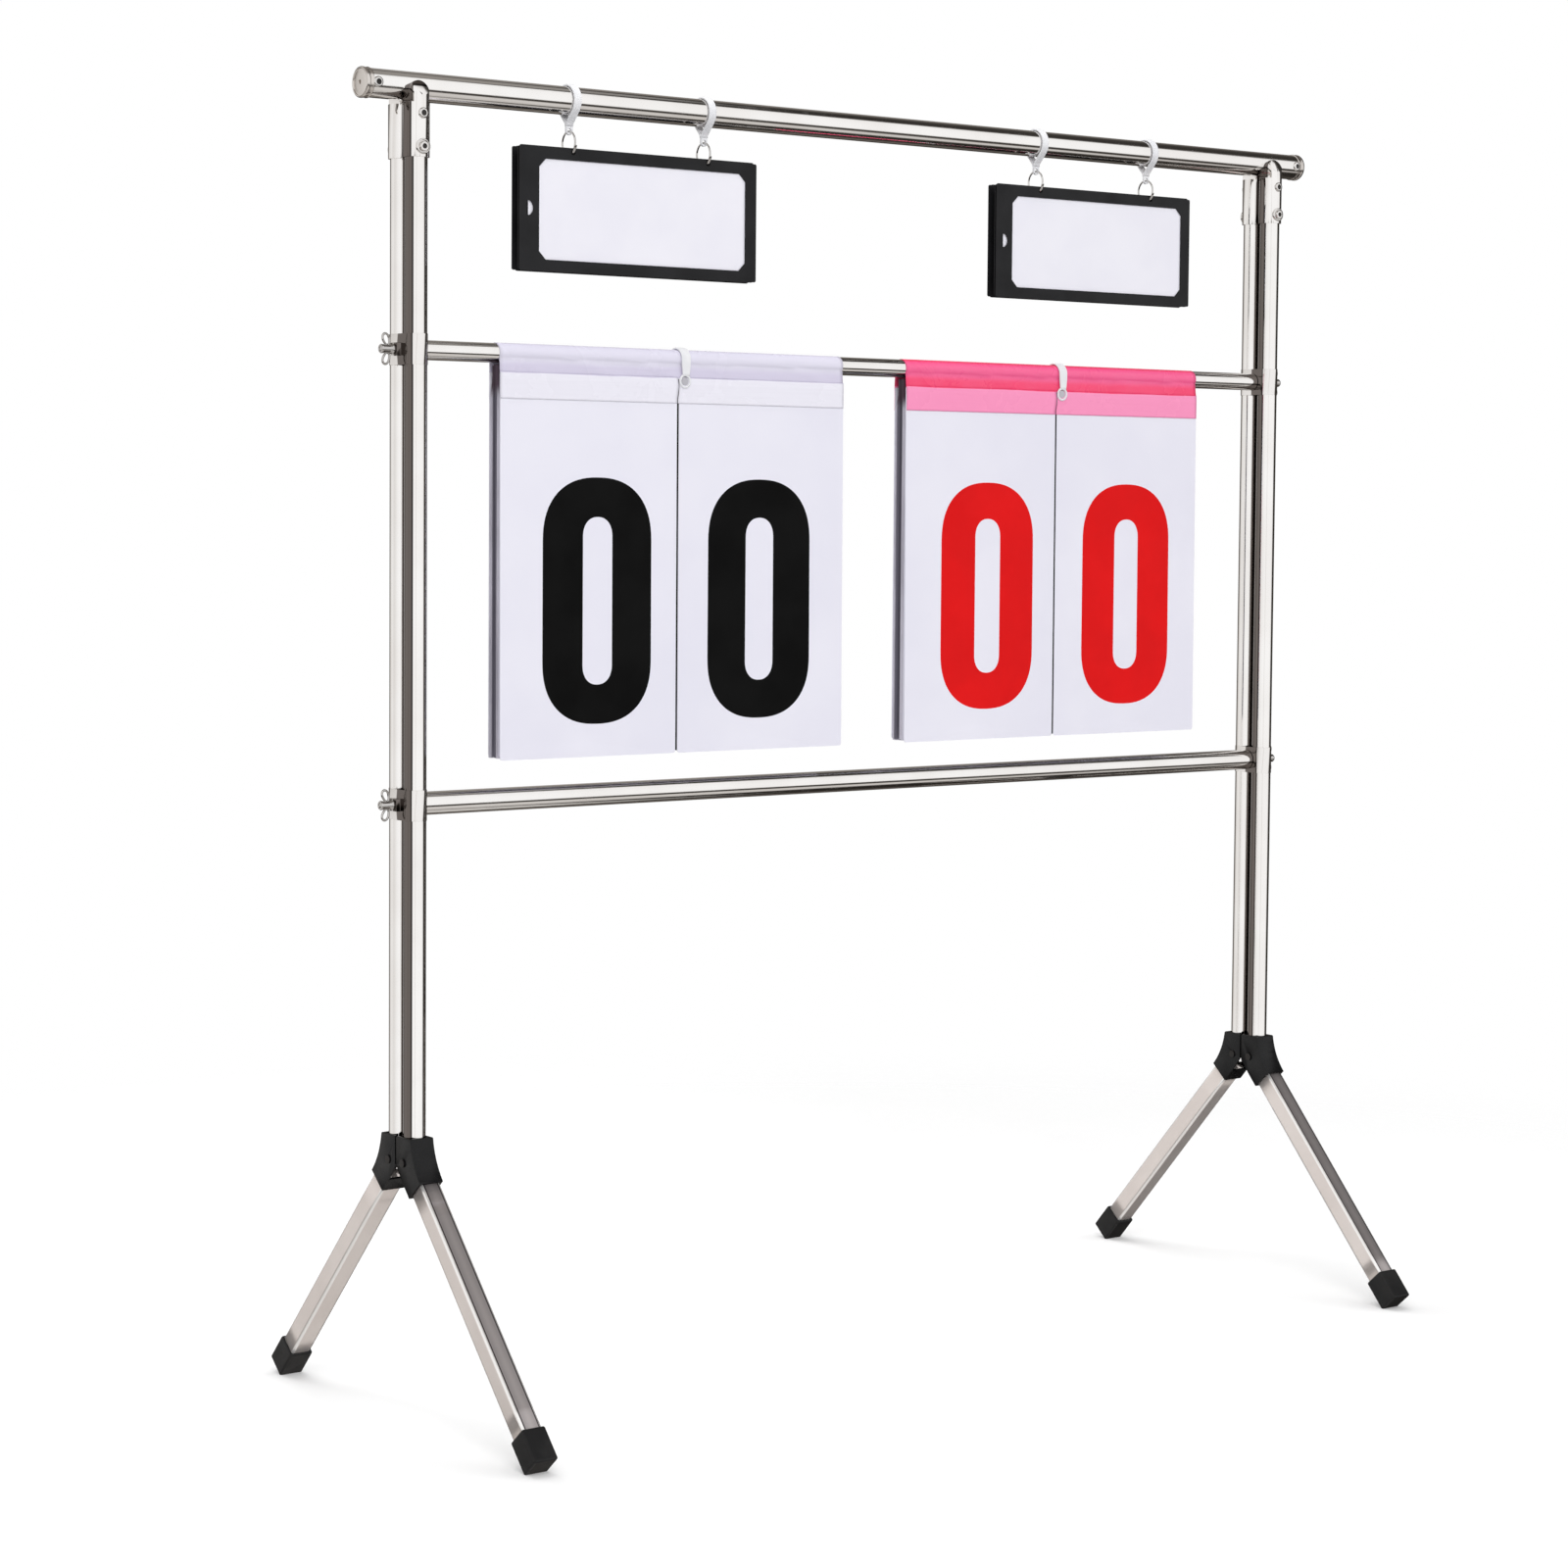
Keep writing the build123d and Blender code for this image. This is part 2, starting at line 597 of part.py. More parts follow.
def number_sets():
    """Both number sets, tens on the left and units on the right."""
    for name, centre in SET_CENTRES.items():
        single(name + "_header", header(centre))
        single(name + "_clip", clip(centre))
        group(name + "_front_pile", [pile(centre, way, -1) for way in (-1, 1)])
        group(name + "_rear_pile", [pile(centre, way, 1) for way in (-1, 1)])
        single(name + "_tens_leaf", leaf(centre, -1))
        single(name + "_units_leaf", leaf(centre, 1))


def main():
    """Build every node and write its STEP file."""
    top_rail()
    rail_caps()
    group("frame_screws", [screw(*place) for place in screw_places()])
    washers()
    leg_sets()
    cross_rails()
    name_holders()
    number_sets()
    os.makedirs("parts", exist_ok=True)
    for name, shape in NODES.items():
        export_step(shape, "parts/" + name + ".step")
        print(name, len(shape.solids()), round(shape.volume, 1), shape.is_valid)


main()
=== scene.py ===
"""Flip scoreboard on a folding stainless stand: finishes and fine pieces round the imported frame.

Lengths are metres. +Z is up, X runs along the rails and the numbers face -Y.
"""

import logging
import math
import random
from dataclasses import dataclass, field, replace
from enum import Enum
from typing import Callable, Iterable

import bmesh
import bpy
from mathutils import Matrix, Vector
from mathutils.geometry import delaunay_2d_cdt

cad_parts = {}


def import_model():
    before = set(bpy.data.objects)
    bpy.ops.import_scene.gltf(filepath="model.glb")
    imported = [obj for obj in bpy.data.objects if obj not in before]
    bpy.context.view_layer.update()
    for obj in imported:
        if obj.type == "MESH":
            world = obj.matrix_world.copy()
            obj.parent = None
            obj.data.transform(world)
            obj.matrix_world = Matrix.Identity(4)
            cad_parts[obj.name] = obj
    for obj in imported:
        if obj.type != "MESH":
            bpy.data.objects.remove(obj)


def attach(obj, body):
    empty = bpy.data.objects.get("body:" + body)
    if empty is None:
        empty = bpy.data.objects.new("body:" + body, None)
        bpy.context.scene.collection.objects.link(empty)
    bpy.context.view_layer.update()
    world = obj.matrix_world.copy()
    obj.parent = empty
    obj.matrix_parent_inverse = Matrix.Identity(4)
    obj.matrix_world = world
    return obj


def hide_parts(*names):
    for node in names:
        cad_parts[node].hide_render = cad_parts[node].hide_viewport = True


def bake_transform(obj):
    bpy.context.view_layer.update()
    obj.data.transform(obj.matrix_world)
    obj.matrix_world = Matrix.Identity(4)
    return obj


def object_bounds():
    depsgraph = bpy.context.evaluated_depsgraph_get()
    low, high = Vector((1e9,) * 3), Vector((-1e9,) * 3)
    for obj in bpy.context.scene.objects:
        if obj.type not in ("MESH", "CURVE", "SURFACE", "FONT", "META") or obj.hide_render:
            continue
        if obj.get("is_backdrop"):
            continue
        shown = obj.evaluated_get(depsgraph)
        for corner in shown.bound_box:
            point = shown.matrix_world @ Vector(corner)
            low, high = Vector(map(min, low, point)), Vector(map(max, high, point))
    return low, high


LOG = logging.getLogger("scoreboard")
MM = 0.001
Point = tuple[float, float]
Place = tuple[float, float, float]
Colour = tuple[float, float, float]
Face = tuple[int, ...]
Stops = tuple[tuple[float, float], ...]
Material = bpy.types.Material
Node = bpy.types.Node
Piece = bpy.types.Object
Socket = bpy.types.NodeSocket
Tree = bpy.types.NodeTree

# Places of the frame that the pieces share.
POST_X = 0.655
POST_Y = 0.0153
TOP_RAIL_Z = 1.476
MID_RAIL_Z = 1.190
LOWER_RAIL_Z = 0.690
LEG_LEAN = math.radians(42.0)
FLAT_CREASE = 35.0
TURNED_CREASE = 40.0
WHITE = (1.0, 1.0, 1.0)
PLAIN_LINES = (1.0, 1.0, 1.0)


class Numeral(Enum):
    """Numerals printed on the leaves."""

    ZERO = "0"
    ONE = "1"


class Side(Enum):
    """Which way a face looks: the front is -Y."""

    FRONT = -1
    REAR = 1

    def tag(self, hand: "Hand") -> str:
        """End of a node's name, such as front_left."""
        return f"{self.name.lower()}_{hand.name.lower()}"


class Hand(Enum):
    """Half of a number set, or end of the stand, as a sign along X."""

    LEFT = -1
    RIGHT = 1

    @property
    def place(self) -> str:
        """Digit that this half of a set shows."""
        return "tens" if self is Hand.LEFT else "units"

    def turn(self) -> Matrix:
        """Turn that points +Z away from the middle of the stand along X."""
        return Matrix.Rotation(self.value * math.pi / 2, 4, "Y")


# ------------------------------------------------------------------ shader groups
@dataclass
class Wiring:
    """Adds nodes to one tree and wires their sockets."""

    tree: Tree

    def add(self, kind: str, settings: dict | None = None, **sockets: object) -> Node:
        """Make a node, set its properties, and fill or link its inputs.

        Args:
            kind: Blender's node type.
            settings: Node properties by name.
            sockets: Inputs by name, with _ for a space, or iN for input number N.

        Returns:
            The new node.
        """
        node = self.tree.nodes.new(kind)
        for key, value in (settings or {}).items():
            setattr(node, key, value)
        for key, value in sockets.items():
            by_number = key[0] == "i" and key[1:].isdigit()
            self.put(node.inputs[int(key[1:])] if by_number else node.inputs[key.replace("_", " ")], value)
        return node

    def put(self, socket: Socket, value: object) -> None:
        """Link a socket, or give it a value.

        Args:
            socket: Input to fill.
            value: Socket to link, number, colour without its alpha, or whatever the input takes.
        """
        if isinstance(value, Socket):
            self.tree.links.new(value, socket)
        elif socket.type == "RGBA" and len(value) == 3:
            socket.default_value = (*value, 1.0)
        else:
            socket.default_value = value

    def split(self, vector: object) -> tuple[Socket, ...]:
        """X, Y and Z of a vector as three sockets."""
        return tuple(self.add("ShaderNodeSeparateXYZ", None, Vector=vector).outputs)

    def distance(self, value: object, other: object) -> Socket:
        """How far two values lie apart."""
        return self.maths("ABSOLUTE", self.maths("SUBTRACT", value, other))

    def mix(self, factor: object, low: object, high: object) -> Socket:
        """Blend of two colours.

        Args:
            factor: Share of the second colour.
            low: First colour or socket.
            high: Second colour or socket.

        Returns:
            The blended colour's socket.
        """
        return self.add("ShaderNodeMix", {"data_type": "RGBA"}, i0=factor, i6=low, i7=high).outputs[2]

    def maths(self, operation: str, first: object, second: object = 0.0) -> Socket:
        """One sum on two values.

        Args:
            operation: Blender's name for the sum.
            first: First value or socket.
            second: Second value or socket.

        Returns:
            The result's socket.
        """
        return self.add("ShaderNodeMath", {"operation": operation}, i0=first, i1=second).outputs[0]

    def ramp(self, value: object, low: float, high: float, bottom: object = 0.0,
             top: object = 1.0) -> Socket:
        """Smooth step of a value from one range to another.

        Args:
            value: Value or socket that is read.
            low: Where the step starts.
            high: Where it ends.
            bottom: Result at the start.
            top: Result at the end.

        Returns:
            The result's socket.
        """
        node = self.add("ShaderNodeMapRange", {"interpolation_type": "SMOOTHSTEP"}, Value=value,
                        From_Min=low, From_Max=high, To_Min=bottom, To_Max=top)
        return node.outputs[0]


class GroupShelf:
    """Shared shader groups, each built once and placed in every material that uses it."""

    made: dict[str, Tree] = {}

    @classmethod
    def start(cls, name: str, inputs: list[tuple[str, str, object]],
              outputs: list[tuple[str, str]]) -> tuple[Wiring, Node, Node]:
        """Make an empty group with its sockets.

        Args:
            name: Name of the group.
            inputs: Name, socket type and default of each input.
            outputs: Name and socket type of each output.

        Returns:
            The group's wiring, its input node and its output node.
        """
        tree = bpy.data.node_groups.new(name, "ShaderNodeTree")
        for label, kind, default in inputs:
            socket = tree.interface.new_socket(label, in_out="INPUT", socket_type=kind)
            if default is not None:
                socket.default_value = default
        for label, kind in outputs:
            tree.interface.new_socket(label, in_out="OUTPUT", socket_type=kind)
        wiring = Wiring(tree)
        cls.made[name] = tree
        return wiring, wiring.add("NodeGroupInput"), wiring.add("NodeGroupOutput")

    @classmethod
    def mottle(cls) -> Tree:
        """Slow drift of a colour over a surface.

        Returns:
            The group.
        """
        if "mottle" not in cls.made:
            w, gin, gout = cls.start("mottle", [
                ("Vector", "NodeSocketVector", None), ("Base", "NodeSocketColor", (1, 1, 1, 1)),
                ("Drift", "NodeSocketColor", (0.9, 0.9, 0.9, 1)), ("Scale", "NodeSocketFloat", 6.0),
                ("Amount", "NodeSocketFloat", 1.0)], [("Color", "NodeSocketColor")])
            cloud = w.add("ShaderNodeTexNoise", None, Vector=gin.outputs["Vector"],
                          Scale=gin.outputs["Scale"], Detail=3.0, Roughness=0.55)
            share = w.maths("MULTIPLY", w.ramp(cloud.outputs[0], 0.34, 0.66), gin.outputs["Amount"])
            w.tree.links.new(w.mix(share, gin.outputs["Base"], gin.outputs["Drift"]), gout.inputs[0])
        return cls.made["mottle"]

    @classmethod
    def handling(cls) -> Tree:
        """Roughness of a surface that hands have touched: smears and finger marks.

        Returns:
            The group.
        """
        if "handling" not in cls.made:
            w, gin, gout = cls.start("handling", [
                ("Vector", "NodeSocketVector", None), ("Scale", "NodeSocketFloat", 30.0),
                ("Clean", "NodeSocketFloat", 0.1), ("Touched", "NodeSocketFloat", 0.2)],
                [("Roughness", "NodeSocketFloat")])
            smear = w.add("ShaderNodeTexNoise", None, Vector=gin.outputs["Vector"],
                          Scale=gin.outputs["Scale"], Detail=5.0, Roughness=0.6, Distortion=0.6)
            w.tree.links.new(w.ramp(smear.outputs[0], 0.38, 0.7, gin.outputs["Clean"],
                                    gin.outputs["Touched"]), gout.inputs[0])
        return cls.made["handling"]

    @classmethod
    def lines(cls) -> Tree:
        """Fine lines drawn out along one direction, as left by a polishing belt.

        Returns:
            The group.
        """
        if "lines" not in cls.made:
            w, gin, gout = cls.start("lines", [
                ("Vector", "NodeSocketVector", None), ("Stretch", "NodeSocketVector", (1.0, 1.0, 0.01)),
                ("Scale", "NodeSocketFloat", 900.0)],
                [("Height", "NodeSocketFloat"), ("Mask", "NodeSocketFloat")])
            drawn = w.add("ShaderNodeVectorMath", {"operation": "MULTIPLY"},
                          i0=gin.outputs["Vector"], i1=gin.outputs["Stretch"]).outputs[0]
            streak = w.add("ShaderNodeTexNoise", None, Vector=drawn, Scale=gin.outputs["Scale"],
                           Detail=2.0, Roughness=0.5)
            w.tree.links.new(streak.outputs[0], gout.inputs[0])
            w.tree.links.new(w.ramp(streak.outputs[0], 0.5, 0.72), gout.inputs[1])
        return cls.made["lines"]

    @classmethod
    def grain(cls) -> Tree:
        """Fine pebbled grain of moulded plastic and calendered sheet.

        Returns:
            The group.
        """
        if "grain" not in cls.made:
            w, gin, gout = cls.start("grain", [
                ("Vector", "NodeSocketVector", None), ("Scale", "NodeSocketFloat", 1800.0),
                ("Cells", "NodeSocketFloat", 0.5)], [("Height", "NodeSocketFloat")])
            pebble = w.add("ShaderNodeTexVoronoi", {"feature": "SMOOTH_F1"}, Vector=gin.outputs["Vector"],
                           Scale=gin.outputs["Scale"], Smoothness=0.6)
            fine = w.add("ShaderNodeTexNoise", None, Vector=gin.outputs["Vector"],
                         Scale=gin.outputs["Scale"], Detail=2.0)
            both = w.add("ShaderNodeMix", {"data_type": "FLOAT"}, i0=gin.outputs["Cells"],
                         i2=fine.outputs[0], i3=pebble.outputs[0])
            w.tree.links.new(both.outputs[0], gout.inputs[0])
        return cls.made["grain"]


@dataclass
class MaterialDesk:
    """One material under construction: its wiring, its shader and its object coordinates."""

    name: str
    wiring: Wiring = field(init=False)
    shader: Node = field(init=False)
    place: Socket = field(init=False)

    def __post_init__(self) -> None:
        """Start the material with a Principled shader on Object coordinates."""
        self.material = bpy.data.materials.new(self.name)
        self.material.use_nodes = True
        self.wiring = Wiring(self.material.node_tree)
        self.shader = self.material.node_tree.nodes["Principled BSDF"]
        self.place = self.wiring.add("ShaderNodeTexCoord").outputs["Object"]

    def group(self, tree: Tree, **sockets: object) -> Node:
        """Place a shared group.

        Args:
            tree: The group.
            sockets: Its inputs by name.

        Returns:
            The group's node.
        """
        return self.wiring.add("ShaderNodeGroup", {"node_tree": tree}, **{"Vector": self.place, **sockets})

    def feed(self, **sockets: object) -> None:
        """Set or link sockets of the shader, named with _ for a space.

        Args:
            sockets: Values or sockets by name.
        """
        for key, value in sockets.items():
            self.wiring.put(self.shader.inputs[key.replace("_", " ")], value)

    def bump(self, height: Socket, strength: float, depth: float) -> None:
        """Raise the surface by a height.

        Args:
            height: The height's socket.
            strength: Strength of the bump.
            depth: Distance in metres that a height of one stands for.
        """
        node = self.wiring.add("ShaderNodeBump", None, Height=height, Strength=strength, Distance=depth)
        self.feed(Normal=node.outputs[0])


# ------------------------------------------------------------------ finishes
@dataclass(frozen=True)
class SteelFinish:
    """Stainless or plated steel with polishing lines along one direction."""

    name: str
    colour: Colour = (0.93, 0.915, 0.90)
    drift: Colour = (0.87, 0.845, 0.825)
    clean: float = 0.05
    touched: float = 0.12
    stretch: Place = (1.0, 1.0, 0.012)
    lean: float = 0.0
    line_scale: float = 900.0
    line_depth: float = 0.00002
    line_rough: float = 0.06
    cloud_scale: float = 9.0
    touch_scale: float = 38.0
    strength: float = 0.10
    metal: float = 1.0
    # Whether the posts get painted shade and painted dark reflection where the twin posts face each other.
    painted_gap_shade: bool = False
    # Zones of painted shade and painted dark reflection where the twin posts face each other: shift between
    # the stand's ends, painted dark rim, painted dark face of the front post, slant of the painted dark face
    # of the rear post, and their colours.
    end_shift: float = 0.00245
    rim_shade_from: Point = (-0.0222, -0.0215)
    front_shade_from: Point = (-0.0208, -0.0200)
    slant: Point = (0.276, 0.961)
    rear_shade_from: Point = (0.0092, 0.0108)
    rim_shade_tone: Colour = (0.035, 0.03, 0.028)
    gap_shade_tone: Colour = (0.16, 0.14, 0.13)
    # Zones of painted light on the square legs, from the tube's middle: painted highlight on the corners,
    # painted shade on the outer face, and a painted dark reflection line beside the corner.
    leg_axis: float = 0.20776
    corner_highlight_from: Point = (0.0094, 0.0104)
    shaded_face_from: Point = (0.2190, 0.2196)
    line_in: Point = (0.0078, 0.0084)
    line_out: Point = (0.0096, 0.0090)
    shaded_face_middle: Colour = (0.42, 0.385, 0.38)
    shaded_face_edge: Colour = (0.33, 0.30, 0.30)
    corner_highlight_tone: Colour = (0.98, 0.965, 0.95)
    corner_dark_line_tone: Colour = (0.02, 0.018, 0.018)

    def between(self, desk: MaterialDesk, tone: Socket) -> Socket:
        """Paint shade and a dark reflection on twin posts where they face each other.

        Args:
            desk: The material.
            tone: Its colour so far.

        Returns:
            The darkened colour's socket.
        """
        w = desk.wiring
        x, y, _ = w.split(desk.place)
        end = w.maths("SIGN", x)
        reach = w.maths("SUBTRACT", y, w.maths("MULTIPLY", end, self.end_shift))
        is_front = w.maths("LESS_THAN", y, 0.0)
        rim = w.maths("MULTIPLY", w.ramp(reach, *self.rim_shade_from), is_front)
        front = w.maths("MULTIPLY", w.ramp(reach, *self.front_shade_from), is_front)
        off = w.maths("SUBTRACT", x, w.maths("MULTIPLY", end, POST_X))
        turned = w.maths("SUBTRACT", w.maths("MULTIPLY", off, self.slant[0]),
                         w.maths("MULTIPLY", w.maths("SUBTRACT", y, POST_Y), self.slant[1]))
        rear = w.maths("MULTIPLY", w.ramp(turned, *self.rear_shade_from), w.maths("GREATER_THAN", y, 0.0))
        return w.mix(w.maths("MAXIMUM", front, rear), w.mix(rim, tone, self.rim_shade_tone), self.gap_shade_tone)

    def rolled(self, desk: MaterialDesk, tone: Socket) -> Socket:
        """Paint light and shade on a leaning square tube: painted highlights on the rolled corners, painted
        shade on the outer face and a painted dark reflection line beside each corner.

        Args:
            desk: The material, its place turned with the tube.
            tone: Its colour so far.

        Returns:
            The colour's socket.
        """
        w = desk.wiring
        x, y, _ = w.split(desk.place)
        across = w.distance(w.maths("ABSOLUTE", x), POST_X)
        out = w.maths("ABSOLUTE", y)
        corner = w.maths("MULTIPLY", w.ramp(across, *self.corner_highlight_from),
                         w.ramp(w.distance(out, self.leg_axis), *self.corner_highlight_from))
        face = w.ramp(out, *self.shaded_face_from)
        line = w.maths("MULTIPLY", face, w.maths("MULTIPLY", w.ramp(across, *self.line_in),
                                                 w.ramp(across, *self.line_out)))
        outer = w.mix(w.ramp(across, 0.0, self.line_out[1]), self.shaded_face_middle, self.shaded_face_edge)
        bright = w.mix(corner, w.mix(face, tone, outer), self.corner_highlight_tone)
        return w.mix(line, bright, self.corner_dark_line_tone)

    def build(self) -> Material:
        """Make the material.

        Returns:
            The material.
        """
        desk = MaterialDesk(self.name)
        if self.lean:
            turned = desk.wiring.add("ShaderNodeMapping", {"vector_type": "POINT"}, Vector=desk.place,
                                     Rotation=(self.lean, 0.0, 0.0))
            desk.place = turned.outputs[0]
        tone = desk.group(GroupShelf.mottle(), Base=self.colour, Drift=self.drift, Scale=self.cloud_scale,
                          Amount=0.8)
        touch = desk.group(GroupShelf.handling(), Scale=self.touch_scale, Clean=self.clean,
                           Touched=self.touched)
        lines = desk.group(GroupShelf.lines(), Stretch=self.stretch, Scale=self.line_scale)
        rough = desk.wiring.maths("ADD", touch.outputs[0], desk.wiring.maths(
            "MULTIPLY", lines.outputs["Mask"], self.line_rough))
        colour = tone.outputs[0]
        # Painted shade and painted dark reflection where the twin posts face each other.
        if self.painted_gap_shade:
            colour = self.between(desk, colour)
        # Painted highlights, painted shade and a painted dark reflection line on the leaning legs.
        if self.lean:
            colour = self.rolled(desk, colour)
        desk.feed(Base_Color=colour, Metallic=self.metal, Roughness=rough)
        desk.bump(lines.outputs["Height"], self.strength, self.line_depth)
        return desk.material


@dataclass(frozen=True)
class MouldedFinish:
    """Moulded plastic or rubber with a fine grain."""

    name: str
    colour: Colour
    drift: Colour
    clean: float
    touched: float
    cloud_scale: float = 28.0
    touch_scale: float = 60.0
    cells: float = 0.6
    grain_scale: float = 1500.0
    grain_depth: float = 0.00006
    strength: float = 0.35
    coat: float = 0.0
    coat_rough: float = 0.2
    sheen: float = 0.5

    def build(self) -> Material:
        """Make the material.

        Returns:
            The material.
        """
        desk = MaterialDesk(self.name)
        tone = desk.group(GroupShelf.mottle(), Base=self.colour, Drift=self.drift, Scale=self.cloud_scale,
                          Amount=1.0)
        touch = desk.group(GroupShelf.handling(), Scale=self.touch_scale, Clean=self.clean,
                           Touched=self.touched)
        grain = desk.group(GroupShelf.grain(), Scale=self.grain_scale, Cells=self.cells)
        desk.feed(Base_Color=tone.outputs[0], Roughness=touch.outputs[0], Coat_Weight=self.coat,
                  Coat_Roughness=self.coat_rough, Specular_IOR_Level=self.sheen)
        desk.bump(grain.outputs[0], self.strength, self.grain_depth)
        return desk.material


@dataclass(frozen=True)
class SheetFinish(MouldedFinish):
    """Calendered PVC or card: cloudy pale tone, faint grain, soft sheen."""

    clean: float = 0.36
    touched: float = 0.52
    cloud_scale: float = 7.0
    touch_scale: float = 18.0
    cells: float = 0.3
    grain_scale: float = 2600.0
    grain_depth: float = 0.00003
    strength: float = 0.2
    coat_rough: float = 0.03
    sheen: float = 0.4


@dataclass(frozen=True)
class StackFinish:
    """Edges of stacked sheets with painted shade: upright strips of sheet edges with painted shade between
    them, painted dark on the inner sheets and darker still under the rail.
    """

    name: str
    pale: Colour = (0.68, 0.655, 0.74)
    # Painted shade of the inner sheets, deep in the stack.
    inner_shade: Colour = (0.17, 0.16, 0.20)
    # Painted shade where the stack gathers under the rail.
    neck: Colour = (0.075, 0.04, 0.055)
    neck_shade_z: Point = (1.138, 1.156)
    outer_y: Point = (0.0040, 0.0056)
    strip_scale: float = 330.0

    def build(self) -> Material:
        """Make the material.

        Returns:
            The material.
        """
        desk = MaterialDesk(self.name)
        w = desk.wiring
        strips = desk.group(GroupShelf.lines(), Stretch=(0.0, 1.0, 0.004), Scale=self.strip_scale)
        _, y, height = w.split(desk.place)
        # Painted shade: inner sheets dark, outer sheets pale with darker strips between their edges.
        outer = w.ramp(w.maths("ABSOLUTE", y), *self.outer_y)
        edges = w.maths("MULTIPLY", outer, w.ramp(strips.outputs["Height"], 0.30, 0.55, 0.72, 1.0))
        shade = w.mix(edges, self.inner_shade, self.pale)
        gathered = w.mix(w.ramp(height, *self.neck_shade_z), shade, self.neck)
        tone = desk.group(GroupShelf.mottle(), Base=gathered, Drift=self.inner_shade, Scale=9.0, Amount=0.3)
        touch = desk.group(GroupShelf.handling(), Scale=18.0, Clean=0.4, Touched=0.56)
        desk.feed(Base_Color=tone.outputs[0], Roughness=touch.outputs[0], Specular_IOR_Level=0.2)
        desk.bump(strips.outputs["Height"], 0.3, 0.0003)
        return desk.material


@dataclass(frozen=True)
class FilmFinish:
    """Tinted film, deep over the rail and pale where a white leaf lies behind it, with a painted highlight
    band over the upper rail and a deeper tint along its crest.
    """

    name: str
    deep: Colour
    pale: Colour
    # Painted highlight colour of the film over the upper rail.
    roll: Colour
    rim: Colour
    edge_z: float = 1.1680
    painted_highlight_z: float = 1.1800
    rim_z: float = 1.1985
    cover: float = 0.94

    def build(self) -> Material:
        """Make the material.

        Returns:
            The material.
        """
        desk = MaterialDesk(self.name)
        w = desk.wiring
        _, _, height = w.split(desk.place)
        wave = w.add("ShaderNodeTexNoise", None, Vector=desk.place, Scale=14.0, Detail=2.0).outputs[0]
        drawn = w.maths("ADD", height, w.maths("MULTIPLY", w.maths("SUBTRACT", wave, 0.5), 0.0035))
        body = w.mix(w.ramp(drawn, self.edge_z - 0.0006, self.edge_z + 0.0006), self.pale, self.deep)
        # Painted highlight band over the upper half of the rail.
        rolled = w.mix(w.ramp(drawn, self.painted_highlight_z - 0.004, self.painted_highlight_z + 0.004), body, self.roll)
        tinted = w.mix(w.ramp(height, self.rim_z - 0.002, self.rim_z + 0.003), rolled, self.rim)
        tone = desk.group(GroupShelf.mottle(), Base=tinted, Drift=self.pale, Scale=24.0, Amount=0.06)
        touch = desk.group(GroupShelf.handling(), Scale=14.0, Clean=0.26, Touched=0.30)
        lines = desk.group(GroupShelf.lines(), Stretch=(0.03, 1.0, 1.0), Scale=260.0)
        desk.feed(Base_Color=tone.outputs[0], Roughness=touch.outputs[0], Coat_Weight=0.2,
                  Coat_Roughness=0.16, Specular_IOR_Level=0.35, Alpha=self.cover)
        desk.bump(lines.outputs["Height"], 0.30, 0.0006)
        return desk.material


@dataclass(frozen=True)
class FloorFinish:
    """Pale matt floor that clears towards its rim, so that it ends without an edge."""

    name: str = "studio_floor"
    colour: Colour = (0.80, 0.80, 0.80)
    drift: Colour = (0.79, 0.79, 0.79)
    glow: float = 0.15
    fade: Point = (1.15, 2.3)

    def build(self) -> Material:
        """Make the material.

        Returns:
            The material.
        """
        desk = MaterialDesk(self.name)
        w = desk.wiring
        far = w.add("ShaderNodeVectorMath", {"operation": "LENGTH"}, i0=desk.place).outputs["Value"]
        tone = desk.group(GroupShelf.mottle(), Base=self.colour, Drift=self.drift, Scale=3.0, Amount=1.0)
        desk.feed(Base_Color=tone.outputs[0], Roughness=0.9, Specular_IOR_Level=0.1)
        clear = w.add("ShaderNodeBsdfTransparent")
        glow = w.add("ShaderNodeEmission", None, Color=WHITE, Strength=self.glow)
        seen = w.add("ShaderNodeLightPath").outputs["Is Camera Ray"]
        lift = w.add("ShaderNodeMixShader", None, i0=seen, i2=glow.outputs[0])
        lifted = w.add("ShaderNodeAddShader", None, i0=desk.shader.outputs[0], i1=lift.outputs[0])
        mixed = w.add("ShaderNodeMixShader", None, i0=w.ramp(far, *self.fade), i1=lifted.outputs[0],
                      i2=clear.outputs[0])
        w.tree.links.new(mixed.outputs[0], w.tree.nodes["Material Output"].inputs[0])
        return desk.material


Finish = SteelFinish | MouldedFinish | StackFinish | FilmFinish | FloorFinish

RAIL_STEEL = SteelFinish("rail_polish", stretch=(0.012, 1.0, 1.0))
# Posts, sleeves and bands carry the painted shade between the twin posts.
POST_STEEL = SteelFinish("post_polish", painted_gap_shade=True)
CAP_STEEL = SteelFinish("cap_polish", colour=(0.70, 0.66, 0.625), drift=(0.60, 0.56, 0.53),
                        clean=0.16, touched=0.26, stretch=PLAIN_LINES, line_scale=1400.0)
SLEEVE_STEEL = SteelFinish("sleeve_polish", line_scale=700.0, painted_gap_shade=True)
CLAMP_STEEL = SteelFinish("clamp_polish", colour=(0.86, 0.84, 0.825), clean=0.06, touched=0.14,
                          stretch=PLAIN_LINES, line_scale=600.0, line_depth=0.00003, strength=0.15,
                          painted_gap_shade=True)
WING_STEEL = SteelFinish("wing_polish", colour=(0.58, 0.565, 0.55), drift=(0.50, 0.48, 0.47), clean=0.08,
                         touched=0.16, stretch=PLAIN_LINES, line_scale=600.0)
SCREW_STEEL = SteelFinish("screw_plating", colour=(0.66, 0.645, 0.63), clean=0.10, touched=0.18,
                          stretch=PLAIN_LINES, line_scale=1500.0)
